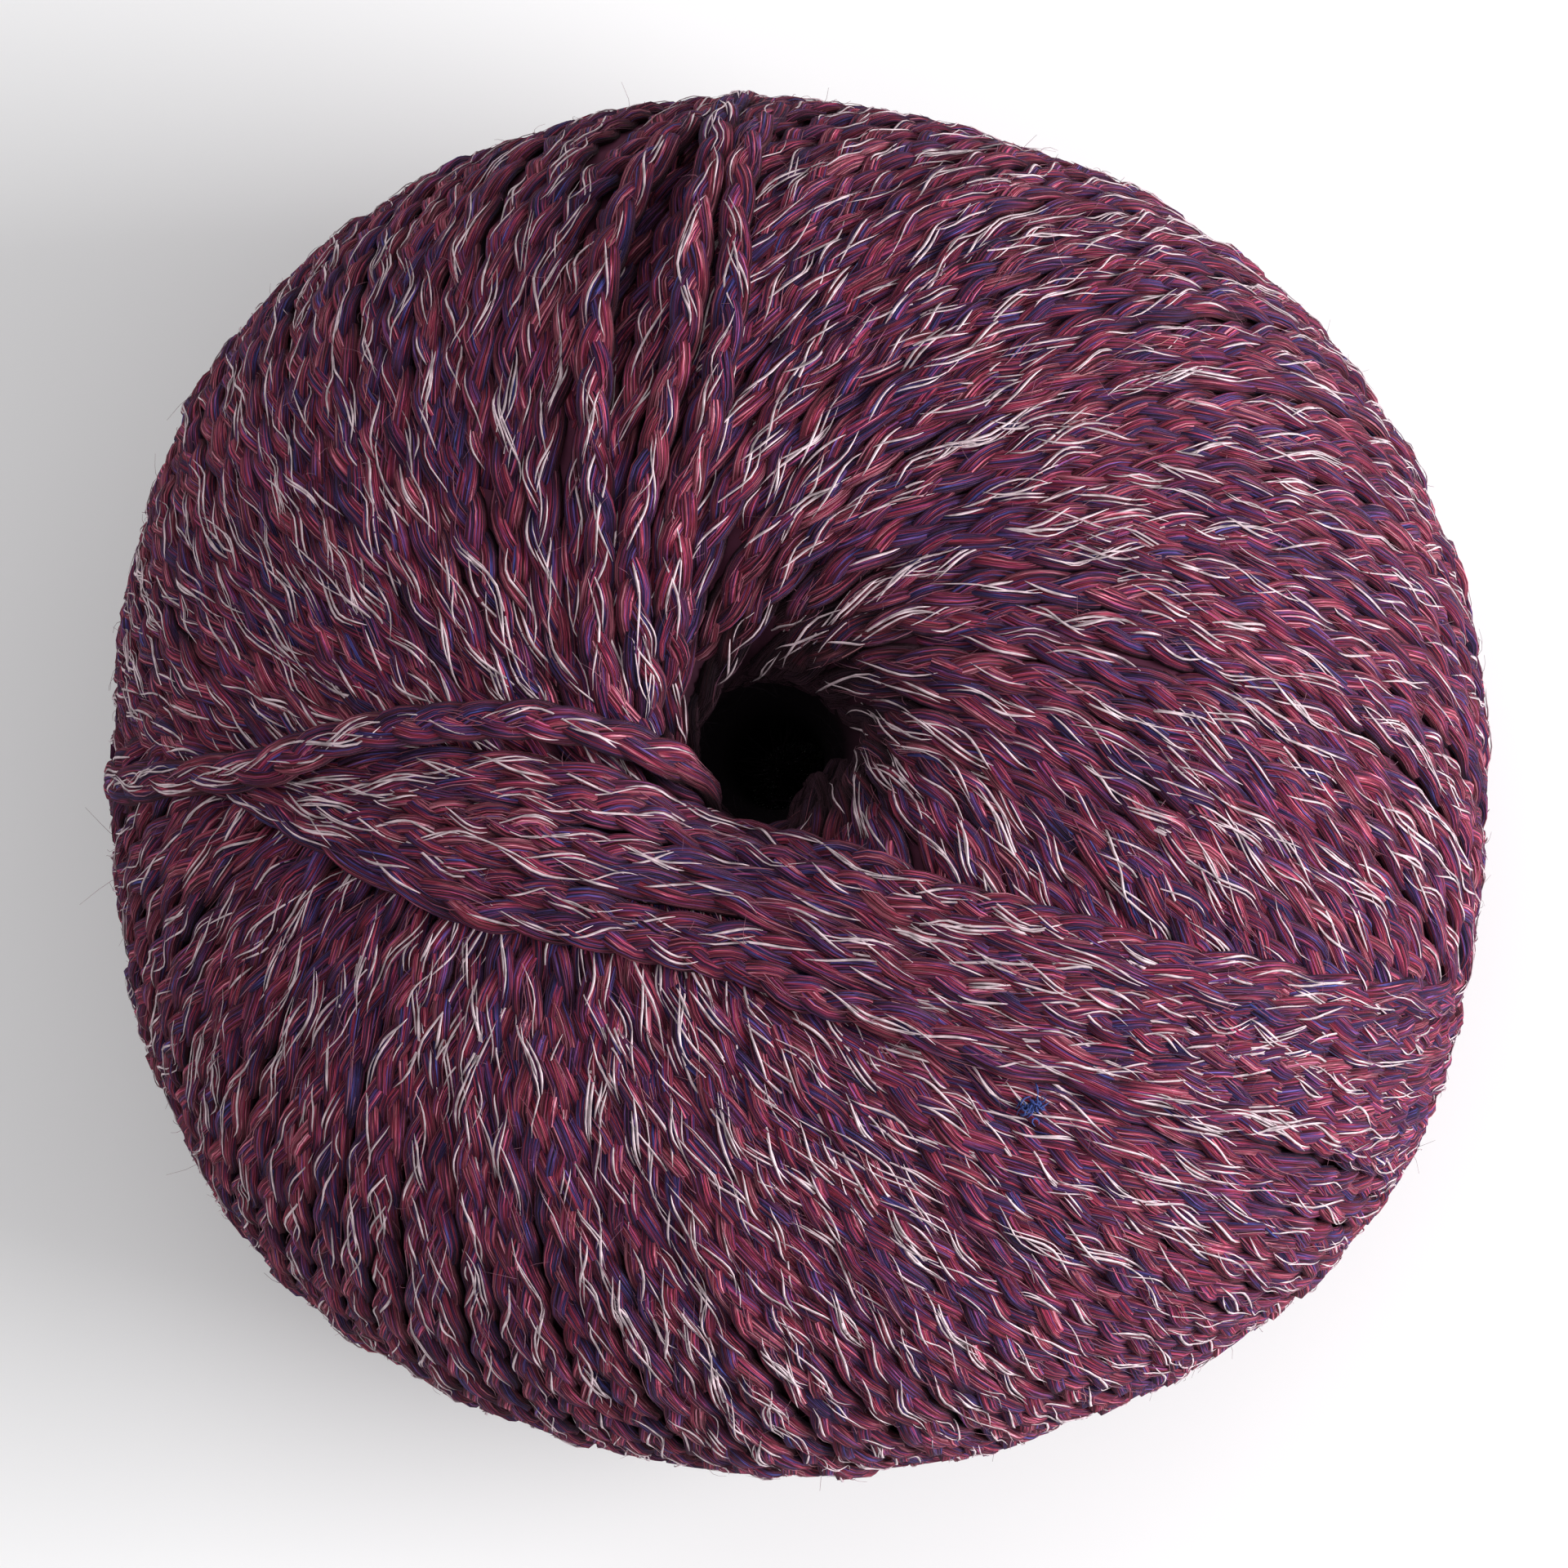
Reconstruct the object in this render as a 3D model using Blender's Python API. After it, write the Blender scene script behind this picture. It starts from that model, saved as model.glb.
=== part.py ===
"""A ball of chain yarn, wound on a spindle and lying on its flatter side.

The ball is one solid. Its body is a ring-like form round the open spindle hole, with the outline of the real
ball, and its turns show as spiral furrows between bundles of strands. The turns laid last cross the top in
the other direction: they are a low layer over the near side, edged by a band of single strands that passes
close by the hole. The yarn's end crosses the band's start and is tucked into the hole.

Units are metres. +Z is up, along the hole, and the ball stands on z = 0.
"""

import math

import bmesh
import bpy
import numpy as np

MM = 0.001

# Driving sizes of the wound form
HOLE_RADIUS = 4.6 * MM
CREST_RADIUS = 14.0 * MM
LIP_DROP = 10.0 * MM
BODY_TOP = 56.0 * MM
WIDEST_HEIGHT = 28.0 * MM
SETTLE = 0.9 * MM
FULLNESS = 2.15
YARN_WIDTH = 2.5 * MM

# Radius of the body at its widest, all round
OUTLINE = [
    # azimuth in degrees, radius
    (0, 47.1 * MM),
    (15, 47.5 * MM),
    (30, 47.4 * MM),
    (45, 47.1 * MM),
    (60, 46.7 * MM),
    (75, 46.0 * MM),
    (90, 46.9 * MM),
    (105, 47.5 * MM),
    (120, 48.3 * MM),
    (135, 49.3 * MM),
    (150, 48.2 * MM),
    (165, 47.3 * MM),
    (180, 46.0 * MM),
    (195, 46.6 * MM),
    (210, 47.7 * MM),
    (225, 47.8 * MM),
    (240, 47.1 * MM),
    (255, 46.4 * MM),
    (270, 46.5 * MM),
    (285, 46.7 * MM),
    (300, 47.2 * MM),
    (315, 48.5 * MM),
    (330, 48.5 * MM),
    (345, 47.5 * MM),
]
OUTLINE_WAVES = 8

# The hole lies a little off the middle of the outline: this far right and back
HOLE_OFFSET = (-1.3 * MM, 1.1 * MM)

# Lean of the strands from the straight way up and over the ball, by arc
LEAN = [
    # arc (0 at the hole's lip, 1 at the widest line), degrees
    (0.00, 62.0),
    (0.12, 50.0),
    (0.24, 42.0),
    (0.50, 39.0),
    (1.00, 36.0),
]
LAYER_LEAN = [
    # arc, degrees, for the strands of the last layer
    (0.00, 62.0),
    (0.12, 50.0),
    (0.24, 43.0),
    (0.50, 35.0),
    (0.75, 27.0),
    (1.00, 20.0),
]

# Furrows between the bundles of strands
BUNDLES = 36
COLUMNS_PER_BUNDLE = 3
FURROW_DEPTH = 0.9 * MM
CROWN_HEIGHT = 0.6 * MM
OUTER_ROWS = 10
LIP_ROWS = 5
LIP_SPACING = 1.35
WALL_ROWS = 3

# The layer laid last, over the near side
LAYER_FROM = 180.0
LAYER_TO = 338.0
LAYER_BUNDLES = 15
LAYER_ROWS = 15
LAYER_RISE = 0.2 * MM
LAYER_DEPTH = 4.0 * MM
LAYER_BED = 1.8 * MM
LAYER_END_ARC = 1.60
LAYER_UNDER_BAND = 0.65
LAYER_UNDER_END = 177.0
LAYER_SHARE = [
    # azimuth where the strand meets the widest line, share of the lean
    (180.0, 1.0),
    (270.0, 1.0),
    (338.0, 0.62),
]

# The band's first and last strands, and the yarn's end, as routes over the top
BAND_INNER = [
    # azimuth, arc, height of the strand's middle over the body
    (157.0, 0.440, -1.6 * MM),
    (163.0, 0.353, 0.4 * MM),
    (172.5, 0.268, 0.9 * MM),
    (186.0, 0.207, 1.1 * MM),
    (208.0, 0.142, 1.2 * MM),
    (240.5, 0.099, 1.0 * MM),
    (273.0, 0.113, 0.9 * MM),
    (300.5, 0.152, 1.0 * MM),
    (317.0, 0.225, 1.2 * MM),
    (325.0, 0.302, 1.3 * MM),
    (331.0, 0.415, 1.2 * MM),
    (335.2, 0.551, 1.1 * MM),
    (338.9, 0.714, 0.7 * MM),
    (342.0, 0.930, 0.3 * MM),
    (345.0, 1.120, -0.1 * MM),
    (349.0, 1.360, -1.8 * MM),
]
BAND_OUTER = [
    # azimuth, arc, height of the strand's middle over the body
    (170.5, 0.890, -1.8 * MM),
    (175.6, 0.755, -0.2 * MM),
    (181.4, 0.619, 0.5 * MM),
    (185.7, 0.550, 0.9 * MM),
    (194.3, 0.455, 1.2 * MM),
    (205.7, 0.374, 1.3 * MM),
    (221.0, 0.299, 1.4 * MM),
    (242.5, 0.254, 1.4 * MM),
    (265.0, 0.251, 1.4 * MM),
    (284.0, 0.283, 1.4 * MM),
    (297.7, 0.340, 1.3 * MM),
    (310.3, 0.439, 1.2 * MM),
    (318.0, 0.551, 1.0 * MM),
    (324.0, 0.708, 0.7 * MM),
    (330.0, 1.000, 0.2 * MM),
    (336.0, 1.320, -1.8 * MM),
]
YARN_END = [
    # azimuth, arc, height of the strand's middle over the body
    (171.0, 1.340, -1.6 * MM),
    (176.0, 1.150, -0.3 * MM),
    (178.5, 1.007, 0.1 * MM),
    (180.5, 0.850, 0.5 * MM),
    (181.3, 0.673, 1.3 * MM),
    (181.1, 0.550, 2.0 * MM),
    (178.9, 0.474, 2.4 * MM),
    (176.8, 0.395, 2.6 * MM),
    (174.5, 0.305, 2.5 * MM),
    (174.6, 0.224, 2.4 * MM),
    (181.5, 0.150, 2.2 * MM),
    (198.0, 0.092, 1.6 * MM),
    (215.0, 0.054, 0.3 * MM),
    (227.0, 0.024, -1.4 * MM),
]
BAND_STRANDS = 6
ROUTE_STEPS = 30
BAND_FURROW_DEPTH = 1.0 * MM
BAND_ROOT = 2.4 * MM

# Half the section of the yarn's end, from its middle outwards
END_SECTION = [
    # sideways, below the middle of the strand's back
    (0.00 * MM, 0.0 * MM),
    (0.85 * MM, 0.35 * MM),
    (1.25 * MM, 1.25 * MM),
    (1.35 * MM, 4.6 * MM),
]

YARN_COLOUR = (0.118, 0.042, 0.073, 1.0)
YARN_ROUGHNESS = 0.85


def meridian():
    """Half the body's section from the top lip of the hole to the bottom lip, as distance, radius and height.

    Each lip is a quarter ellipse, and the outer face is a superellipse above and below the widest line.
    """
    lip_width = CREST_RADIUS - HOLE_RADIUS
    lip = np.linspace(math.pi, math.pi / 2, 60)
    outer = np.linspace(math.pi / 2, 0.0, 300)[1:]
    bottom = -SETTLE

    def quarter(angles, rise):
        sideways = np.cos(angles) ** (2 / FULLNESS)
        upwards = np.sin(angles) ** (2 / FULLNESS)
        reach = MEAN_RADIUS - CREST_RADIUS
        return CREST_RADIUS + reach * sideways, WIDEST_HEIGHT + rise * upwards

    top_radius, top_height = quarter(outer, BODY_TOP - WIDEST_HEIGHT)
    low_radius, low_height = quarter(outer[::-1], bottom - WIDEST_HEIGHT)
    lip_radius = CREST_RADIUS + lip_width * np.cos(lip)
    radius = np.concatenate([lip_radius, top_radius, low_radius[1:], lip_radius[::-1]])
    height = np.concatenate(
        [
            BODY_TOP - LIP_DROP + LIP_DROP * np.sin(lip),
            top_height,
            low_height[1:],
            bottom + LIP_DROP - LIP_DROP * np.sin(lip[::-1]),
        ]
    )
    distance = np.concatenate([[0.0], np.cumsum(np.hypot(np.diff(radius), np.diff(height)))])
    return distance, radius, height


def outline_radius(azimuth):
    """The widest radius at an azimuth: a smooth sum of waves through the table's twelve radii."""
    radii = np.array([row[1] for row in OUTLINE])
    waves = np.fft.rfft(radii) / len(radii)
    total = np.full(np.shape(azimuth), waves[0].real)
    for n in range(1, OUTLINE_WAVES + 1):
        total = total + 2 * (waves[n].real * np.cos(n * azimuth) - waves[n].imag * np.sin(n * azimuth))
    return total


MEAN_RADIUS = float(np.mean([row[1] for row in OUTLINE]))
DISTANCE, RADIUS, HEIGHT = meridian()
WIDEST_DISTANCE = DISTANCE[np.argmax(RADIUS)]
FULL_DISTANCE = DISTANCE[-1]
CREST_ARC = DISTANCE[59] / WIDEST_DISTANCE


def distance_at(arc):
    """Distance along the meridian: arc 0 is the top lip, 1 the widest line and 2 the bottom lip."""
    arc = np.asarray(arc, float)
    below = WIDEST_DISTANCE + (arc - 1) * (FULL_DISTANCE - WIDEST_DISTANCE)
    return np.where(arc <= 1, arc * WIDEST_DISTANCE, below)


def on_body(arc, azimuth, rise=0.0):
    """Points over the body at an arc and azimuth, raised along the surface's own normal.

    Each ring of the body is moved towards the hole's own middle, wholly at the lips and not at the widest line.
    """
    distance = distance_at(arc)
    step = 0.2 * MM
    radius = np.interp(distance, DISTANCE, RADIUS)
    height = np.interp(distance, DISTANCE, HEIGHT)
    ahead = np.clip(distance + step, 0, FULL_DISTANCE)
    behind = np.clip(distance - step, 0, FULL_DISTANCE)
    along_r = np.interp(ahead, DISTANCE, RADIUS) - np.interp(behind, DISTANCE, RADIUS)
    along_z = np.interp(ahead, DISTANCE, HEIGHT) - np.interp(behind, DISTANCE, HEIGHT)
    size = np.hypot(along_r, along_z)
    share = np.clip((radius - HOLE_RADIUS) / (MEAN_RADIUS - HOLE_RADIUS), 0, 1)
    radius = radius * (1 + share * (outline_radius(azimuth) / MEAN_RADIUS - 1))
    radius = radius - rise * along_z / size
    height = height + rise * along_r / size
    across = radius * np.cos(azimuth) + (1 - share) * HOLE_OFFSET[0]
    back = radius * np.sin(azimuth) + (1 - share) * HOLE_OFFSET[1]
    return np.stack([across, back, height], axis=-1)


def lean_turn(arc, leans=LEAN):
    """How far a strand has turned round the ball between the widest line and an arc, in radians.

    It is the sum of tan(lean) / radius along the meridian. It grows towards the hole and is negative below.
    """
    grid = np.linspace(0.0, 2.0, 801)
    table_arc, table_lean = np.array(leans).T
    lean = np.interp(1 - np.abs(grid - 1), table_arc, table_lean)
    distance = distance_at(grid)
    radius = np.interp(distance, DISTANCE, RADIUS)
    slope = np.tan(np.radians(lean)) / radius
    turned = np.concatenate([[0.0], np.cumsum(np.diff(distance) * (slope[1:] + slope[:-1]) / 2)])
    return np.interp(1.0, grid, turned) - np.interp(arc, grid, turned)


def furrow(column):
    """Height of the surface at a column: one column in three is a furrow, and its depth varies a little."""
    bundle = column // COLUMNS_PER_BUNDLE
    uneven = 0.8 + 0.3 * np.sin(2.4 * bundle) * np.cos(1.1 * bundle)
    return np.where(column % COLUMNS_PER_BUNDLE == 0, -FURROW_DEPTH, CROWN_HEIGHT) * uneven


def new_object(name, vertices, faces, collection):
    """A mesh object from points and faces, with its faces turned outwards and nothing under the floor."""
    vertices[:, 2] = np.maximum(vertices[:, 2], 0.0)
    mesh = bpy.data.meshes.new(name)
    mesh.from_pydata(vertices.tolist(), [], faces)
    shape = bmesh.new()
    shape.from_mesh(mesh)
    bmesh.ops.triangulate(shape, faces=shape.faces)
    bmesh.ops.recalc_face_normals(shape, faces=shape.faces)
    shape.to_mesh(mesh)
    shape.free()
    thing = bpy.data.objects.new(name, mesh)
    collection.objects.link(thing)
    return thing


def slab(name, outer, inner, collection):
    """A closed solid between two grids of points with the same rows and columns."""
    rows, across = outer.shape[:2]
    count = rows * across
    index = np.arange(count).reshape(rows, across)
    a, b, c, d = index[:-1, :-1], index[:-1, 1:], index[1:, 1:], index[1:, :-1]
    faces = [np.stack([a, b, c, d], -1).reshape(-1, 4), np.stack([a, d, c, b], -1).reshape(-1, 4) + count]
    for edge in (index[0], index[:, -1], index[-1, ::-1], index[::-1, 0]):
        faces.append(np.stack([edge[:-1], edge[:-1] + count, edge[1:] + count, edge[1:]], -1))
    points = np.concatenate([outer.reshape(-1, 3), inner.reshape(-1, 3)])
    return new_object(name, points, np.concatenate(faces).tolist(), collection)


def band_edge_arc(azimuth_degrees, share):
    """Arc of the line a share of the way from the band's inner strand to its outer one."""
    inner = np.array(BAND_INNER)
    outer = np.array(BAND_OUTER)
    near = np.interp(azimuth_degrees, inner[:, 0], inner[:, 1])
    far = np.interp(azimuth_degrees, outer[:, 0], outer[:, 1])
    return (1 - share) * near + share * far


def under_layer(arc, azimuth):
    """How far a place on the body is inside the bounds of the last layer, from 0 to 1."""
    share_at, share = np.array(LAYER_SHARE).T
    degrees = np.degrees(azimuth) % 360
    start = degrees
    for _ in range(6):
        start = degrees + np.degrees(lean_turn(arc, LAYER_LEAN)) * np.interp(start, share_at, share)
    inside = np.clip(np.minimum(start - LAYER_FROM, LAYER_TO - start) / 8.0, 0, 1)
    inside *= np.clip((arc - band_edge_arc(degrees, LAYER_UNDER_BAND)) / 0.08, 0, 1)
    inside *= np.where(arc < 1.2, np.clip((degrees - LAYER_UNDER_END) / 6.0, 0, 1), 1.0)
    return inside * np.clip((LAYER_END_ARC - arc) / 0.12, 0, 1)


def body(collection):
    """The whole ring-like form. Its columns follow the strands, and it is lower where the last layer lies."""
    columns = BUNDLES * COLUMNS_PER_BUNDLE
    lip_arcs = CREST_ARC * np.linspace(0.0, 1.0, LIP_ROWS + 1) ** LIP_SPACING
    top_arcs = np.concatenate([lip_arcs, np.linspace(CREST_ARC, 1.0, OUTER_ROWS + 1)[1:]])
    arcs = np.concatenate([top_arcs, 2 - top_arcs[-2::-1]])
    column = np.arange(columns)
    step = 2 * math.pi / columns

    # The turn from lip to lip is a whole number of columns, so the hole's wall runs straight up
    full_turn = lean_turn(0.0) - lean_turn(2.0)
    shift = round(full_turn / step)
    evened = shift * step / full_turn

    fade = np.clip(np.minimum(arcs, 2 - arcs) / CREST_ARC, 0, 1)[:, None]
    azimuth = column[None, :] * step + lean_turn(arcs)[:, None] * evened
    arc_grid = np.repeat(arcs[:, None], columns, axis=1)
    rise = furrow(column)[None, :] * fade - LAYER_BED * under_layer(arc_grid, azimuth)
    points = on_body(arc_grid, azimuth, rise)

    # The wall of the hole, from its bottom lip up to its top lip
    up = (np.arange(1, WALL_ROWS + 1) / (WALL_ROWS + 1))[:, None, None]
    wall = (1 - up) * points[-1] + up * np.roll(points[0], shift, axis=0)
    points = np.concatenate([points, wall])

    rows = len(points)
    faces = []
    for row in range(rows):
        below = (row + 1) % rows
        offset = shift if below == 0 else 0
        for c in range(columns):
            after = (c + 1) % columns
            faces.append(
                (
                    row * columns + c,
                    row * columns + after,
                    below * columns + (after - offset) % columns,
                    below * columns + (c - offset) % columns,
                )
            )
    return new_object("yarn_ball", points.reshape(-1, 3), faces, collection)


def top_layer(collection):
    """The layer laid last: a thick patch on the near side, whose furrows lean the other way.

    Its inner edge lies under the band, and its other edges dip into the body.
    """
    columns = LAYER_BUNDLES * COLUMNS_PER_BUNDLE
    column = np.arange(columns + 1)
    start = np.linspace(LAYER_FROM, LAYER_TO, columns + 1)
    share_at, share = np.array(LAYER_SHARE).T
    lean_share = np.interp(start, share_at, share)

    # March along each strand from the hole until it comes out from under the band and the yarn's end
    march = np.linspace(0.10, 1.0, 400)
    inner_arc = np.empty(columns + 1)
    for c in range(columns + 1):
        azimuth = start[c] - np.degrees(lean_turn(march, LAYER_LEAN)) * lean_share[c]
        out = (march > band_edge_arc(azimuth, LAYER_UNDER_BAND)) & (azimuth > LAYER_UNDER_END)
        inner_arc[c] = march[np.argmax(out)] if out.any() else march[-1]

    along = np.linspace(0.0, 1.0, LAYER_ROWS)[:, None]
    arcs = inner_arc[None, :] + (LAYER_END_ARC - inner_arc[None, :]) * along
    azimuth = np.radians(start)[None, :] - lean_turn(arcs, LAYER_LEAN) * lean_share[None, :]
    side_fade = np.clip(np.minimum(column, columns - column) / COLUMNS_PER_BUNDLE, 0, 1)
    end_fade = np.clip((1 - along) * 5, 0, 1)
    fade = np.minimum(side_fade[None, :], end_fade)
    rise = -LAYER_BED * (1 - fade) + (LAYER_RISE + furrow(column)[None, :]) * fade
    outer = on_body(arcs, azimuth, rise)
    inner = on_body(arcs, azimuth, np.full_like(rise, -LAYER_DEPTH))

    return slab("last_layer", outer, inner, collection)


def smooth_route(rows):
    """A route's rows, read as a smooth curve through them at even steps."""
    table = np.array(rows)
    knots = np.arange(len(table))
    slopes = np.gradient(table, axis=0)
    t = np.linspace(0, len(table) - 1, ROUTE_STEPS)
    cell = np.minimum(t.astype(int), len(table) - 2)
    u = (t - knots[cell])[:, None]
    a, b = table[cell], table[cell + 1]
    sa, sb = slopes[cell], slopes[cell + 1]
    return (
        (2 * u**3 - 3 * u**2 + 1) * a
        + (u**3 - 2 * u**2 + u) * sa
        + (3 * u**2 - 2 * u**3) * b
        + (u**3 - u**2) * sb
    )


def band(collection):
    """The strands of the band, spread evenly between its two edge routes, as one slab with a furrow between each
    pair. Its root is deep in the body, so nothing is closed off under it.
    """
    inner_route, outer_route = smooth_route(BAND_INNER), smooth_route(BAND_OUTER)
    column = np.arange(2 * BAND_STRANDS + 1)
    share = ((column - 1) / (2 * BAND_STRANDS - 2))[None, :, None]
    route = (1 - share) * inner_route[:, None, :] + share * outer_route[:, None, :]
    depth = np.where(column % 2 == 0, BAND_FURROW_DEPTH, 0.0)
    depth[[0, -1]] = BAND_ROOT
    back = route[..., 2] + YARN_WIDTH / 2 - depth[None, :]
    outer = on_body(route[..., 1], np.radians(route[..., 0]), back)
    root = on_body(route[..., 1], np.radians(route[..., 0]), np.minimum(back - 0.5 * MM, -BAND_ROOT))
    return slab("band", outer, root, collection)


def yarn_end(collection):
    """The end of the yarn: one strand that follows its route, with its root sunk into what it crosses."""
    route = smooth_route(YARN_END)
    half = np.array(END_SECTION)
    sideways = np.concatenate([-half[:0:-1, 0], half[:, 0]])
    below = np.concatenate([half[:0:-1, 1], half[:, 1]])
    middle = on_body(route[:, 1], np.radians(route[:, 0]), 0.0)
    above = on_body(route[:, 1], np.radians(route[:, 0]), MM)
    normal = (above - middle) / MM
    along = np.gradient(middle, axis=0)
    side = np.cross(normal, along)
    side /= np.linalg.norm(side, axis=1, keepdims=True)
    height = route[:, 2, None] + YARN_WIDTH / 2 - below[None, :]
    spread = middle[:, None, :] + side[:, None, :] * sideways[None, :, None]
    outer = spread + normal[:, None, :] * height[..., None]
    root = spread + normal[:, None, :] * (height.min(axis=1, keepdims=True) - 0.4 * MM)[..., None]
    return slab("yarn_end", outer, root, collection)


def yarn_material():
    """Soft plum-coloured yarn."""
    material = bpy.data.materials.new("plum_yarn")
    material.use_nodes = True
    shader = material.node_tree.nodes["Principled BSDF"]
    shader.inputs["Base Color"].default_value = YARN_COLOUR
    shader.inputs["Roughness"].default_value = YARN_ROUGHNESS
    shader.inputs["Metallic"].default_value = 0.0
    return material


def finish_mesh(ball):
    """Cuts the joined mesh into triangles and stands the middle of its box over the origin."""
    shape = bmesh.new()
    shape.from_mesh(ball.data)
    bmesh.ops.triangulate(shape, faces=shape.faces)
    points = np.array([vertex.co for vertex in shape.verts])
    middle = (points.min(axis=0) + points.max(axis=0)) / 2
    bmesh.ops.translate(shape, verts=shape.verts, vec=(-middle[0], -middle[1], 0.0))
    shape.to_mesh(ball.data)
    shape.free()


def main():
    for thing in list(bpy.data.objects):
        bpy.data.objects.remove(thing)
    parts = bpy.data.collections.new("yarn_ball_parts")
    helpers = bpy.data.collections.new("yarn_ball_helpers")
    for group in (parts, helpers):
        bpy.context.scene.collection.children.link(group)

    ball = body(parts)
    for piece in (top_layer(helpers), band(helpers), yarn_end(helpers)):
        piece.hide_render = True
        piece.display_type = "WIRE"
        union = ball.modifiers.new("join_" + piece.name, "BOOLEAN")
        union.operation = "UNION"
        union.solver = "EXACT"
        union.use_self = True
        union.object = piece
    bpy.context.view_layer.update()
    ball.data = bpy.data.meshes.new_from_object(ball.evaluated_get(bpy.context.evaluated_depsgraph_get()))
    ball.modifiers.clear()
    finish_mesh(ball)
    ball.data.shade_smooth()
    ball.data.set_sharp_from_angle(angle=math.radians(50))
    ball.data.materials.append(yarn_material())


main()
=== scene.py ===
"""A ball of plum-coloured chain yarn, lying with its centre hole upright.

Each strand of yarn is a plait of three soft plies that follows its own route over the wound body. Fine white
filaments ride on the plies, and short hairs stand off them. Sizes here are in millimetres until a mesh is made.
"""

import math
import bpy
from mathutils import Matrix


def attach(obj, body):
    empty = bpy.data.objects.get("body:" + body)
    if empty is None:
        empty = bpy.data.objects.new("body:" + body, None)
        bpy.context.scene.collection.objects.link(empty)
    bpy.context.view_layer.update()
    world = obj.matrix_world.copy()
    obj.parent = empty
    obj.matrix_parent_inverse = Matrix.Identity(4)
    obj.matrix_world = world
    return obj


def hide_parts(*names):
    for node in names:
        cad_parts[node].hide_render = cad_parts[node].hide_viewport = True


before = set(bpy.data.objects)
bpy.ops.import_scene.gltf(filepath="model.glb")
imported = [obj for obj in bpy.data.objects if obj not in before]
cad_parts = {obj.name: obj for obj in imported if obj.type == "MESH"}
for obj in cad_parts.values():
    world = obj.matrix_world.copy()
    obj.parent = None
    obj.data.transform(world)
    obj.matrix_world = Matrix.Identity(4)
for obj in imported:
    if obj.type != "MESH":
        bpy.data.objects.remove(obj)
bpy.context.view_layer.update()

from types import SimpleNamespace

import bpy
import numpy as np
from mathutils import Matrix, Vector

RANDOM = np.random.default_rng(41)

# The wound body: the middle of its outline, how far off it the hole lies, and the sizes of its section
BALL_CENTRE = (-0.036, -0.055)
HOLE_OFFSET = (-0.45, 0.75)
HOLE_AT = (BALL_CENTRE[0] + HOLE_OFFSET[0], BALL_CENTRE[1] + HOLE_OFFSET[1])
HOLE_RADIUS = 4.9
CREST_RADIUS = 14.0
LIP_DROP = 10.0
BODY_TOP = 56.0
WIDEST_HEIGHT = 28.0
SETTLE = 0.9
FULLNESS = 2.15
OUTLINE = [
    # radius at every 15 degrees, from the right and towards the back
    *(47.1, 47.5, 47.4, 47.1, 46.7, 46.0, 46.9, 47.5, 48.3, 49.3, 48.2, 47.3),
    *(46.0, 46.6, 47.7, 47.8, 47.1, 46.4, 46.5, 46.7, 47.2, 48.5, 48.5, 47.5),
]
OUTLINE_WAVES = 8
LEAN_ARCS = (0.05, 0.20, 0.50, 1.00)
LEAN = [
    # azimuth, lean in degrees at each of those arcs (0 at the hole's top lip, 1 at the widest line)
    (0.0, 22.0, 30.0, 30.0, 26.0),
    (60.0, 24.0, 28.0, 30.0, 24.0),
    (105.0, 38.0, 36.0, 30.0, 24.0),
    (135.0, 52.0, 46.0, 37.0, 26.0),
    (165.0, 60.0, 52.0, 34.0, 25.0),
    (210.0, 45.0, 42.0, 34.0, 26.0),
    (300.0, 40.0, 40.0, 34.0, 26.0),
]
LAST_LAYER_LEAN = [
    # arc, lean in degrees
    (0.00, 62.0),
    (0.12, 50.0),
    (0.24, 43.0),
    (0.50, 33.0),
    (0.75, 21.0),
    (1.00, 10.0),
]

# The yarn: one turn of its plait, how far the plies swing, their size, and the steps between a ply's rings,
# which are coarser below an arc
PLAIT_LENGTH = 11.4
PLAIT_SIDEWAYS = 0.60
PLAIT_DEPTH = 0.28
PLY_HALF_WIDTH = 0.76
PLY_HALF_DEPTH = 0.64
FINE_STEP = 0.80
COARSE_STEP = 1.55
COARSE_BELOW = 1.28
SHORTEST_STRETCH = 6.0

# The shade down the funnel: how much is taken off the plies' light, and the arc where it ends on the mean side
GLOOM = 1.45
GLOOM_END = 0.22

# The fibres: how many there are, and the share of them that lie on a leg of the plait that shows
WHITE_FILAMENTS = 1800
SURFACE_FIBRES = 4000
LOOSE_FIBRES = 5200
HOLE_HAIRS = 300
LIP_HAIRS = 150
LEG_SHARE = 0.65

# The yarn's colours: hue by lock of fibres, and how light each fibre is
PATCH_SHARE = 0.55
HUES = [
    # place on the noise, colour
    (0.58, (0.014, 0.010, 0.046)),
    (0.67, (0.034, 0.010, 0.043)),
    (0.75, (0.056, 0.0080, 0.029)),
    (0.82, (0.104, 0.0078, 0.023)),
    (0.89, (0.156, 0.0150, 0.029)),
    (0.96, (0.195, 0.0460, 0.066)),
]
STREAKS = [
    # place on the noise, share of the light
    (0.34, (0.10, 0.10, 0.12)),
    (0.45, (0.55, 0.55, 0.57)),
    (0.54, (1.25, 1.30, 1.30)),
    (0.62, (2.30, 3.20, 3.00)),
    (0.72, (3.60, 7.50, 6.60)),
]

FIBRE_HUES = [
    # place on the noise, colour
    (0.30, (0.020, 0.020, 0.080)),
    (0.40, (0.070, 0.018, 0.060)),
    (0.48, (0.130, 0.020, 0.040)),
    (0.54, (0.190, 0.050, 0.080)),
    (0.62, (0.260, 0.110, 0.160)),
    (0.72, (0.330, 0.120, 0.120)),
]

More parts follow.
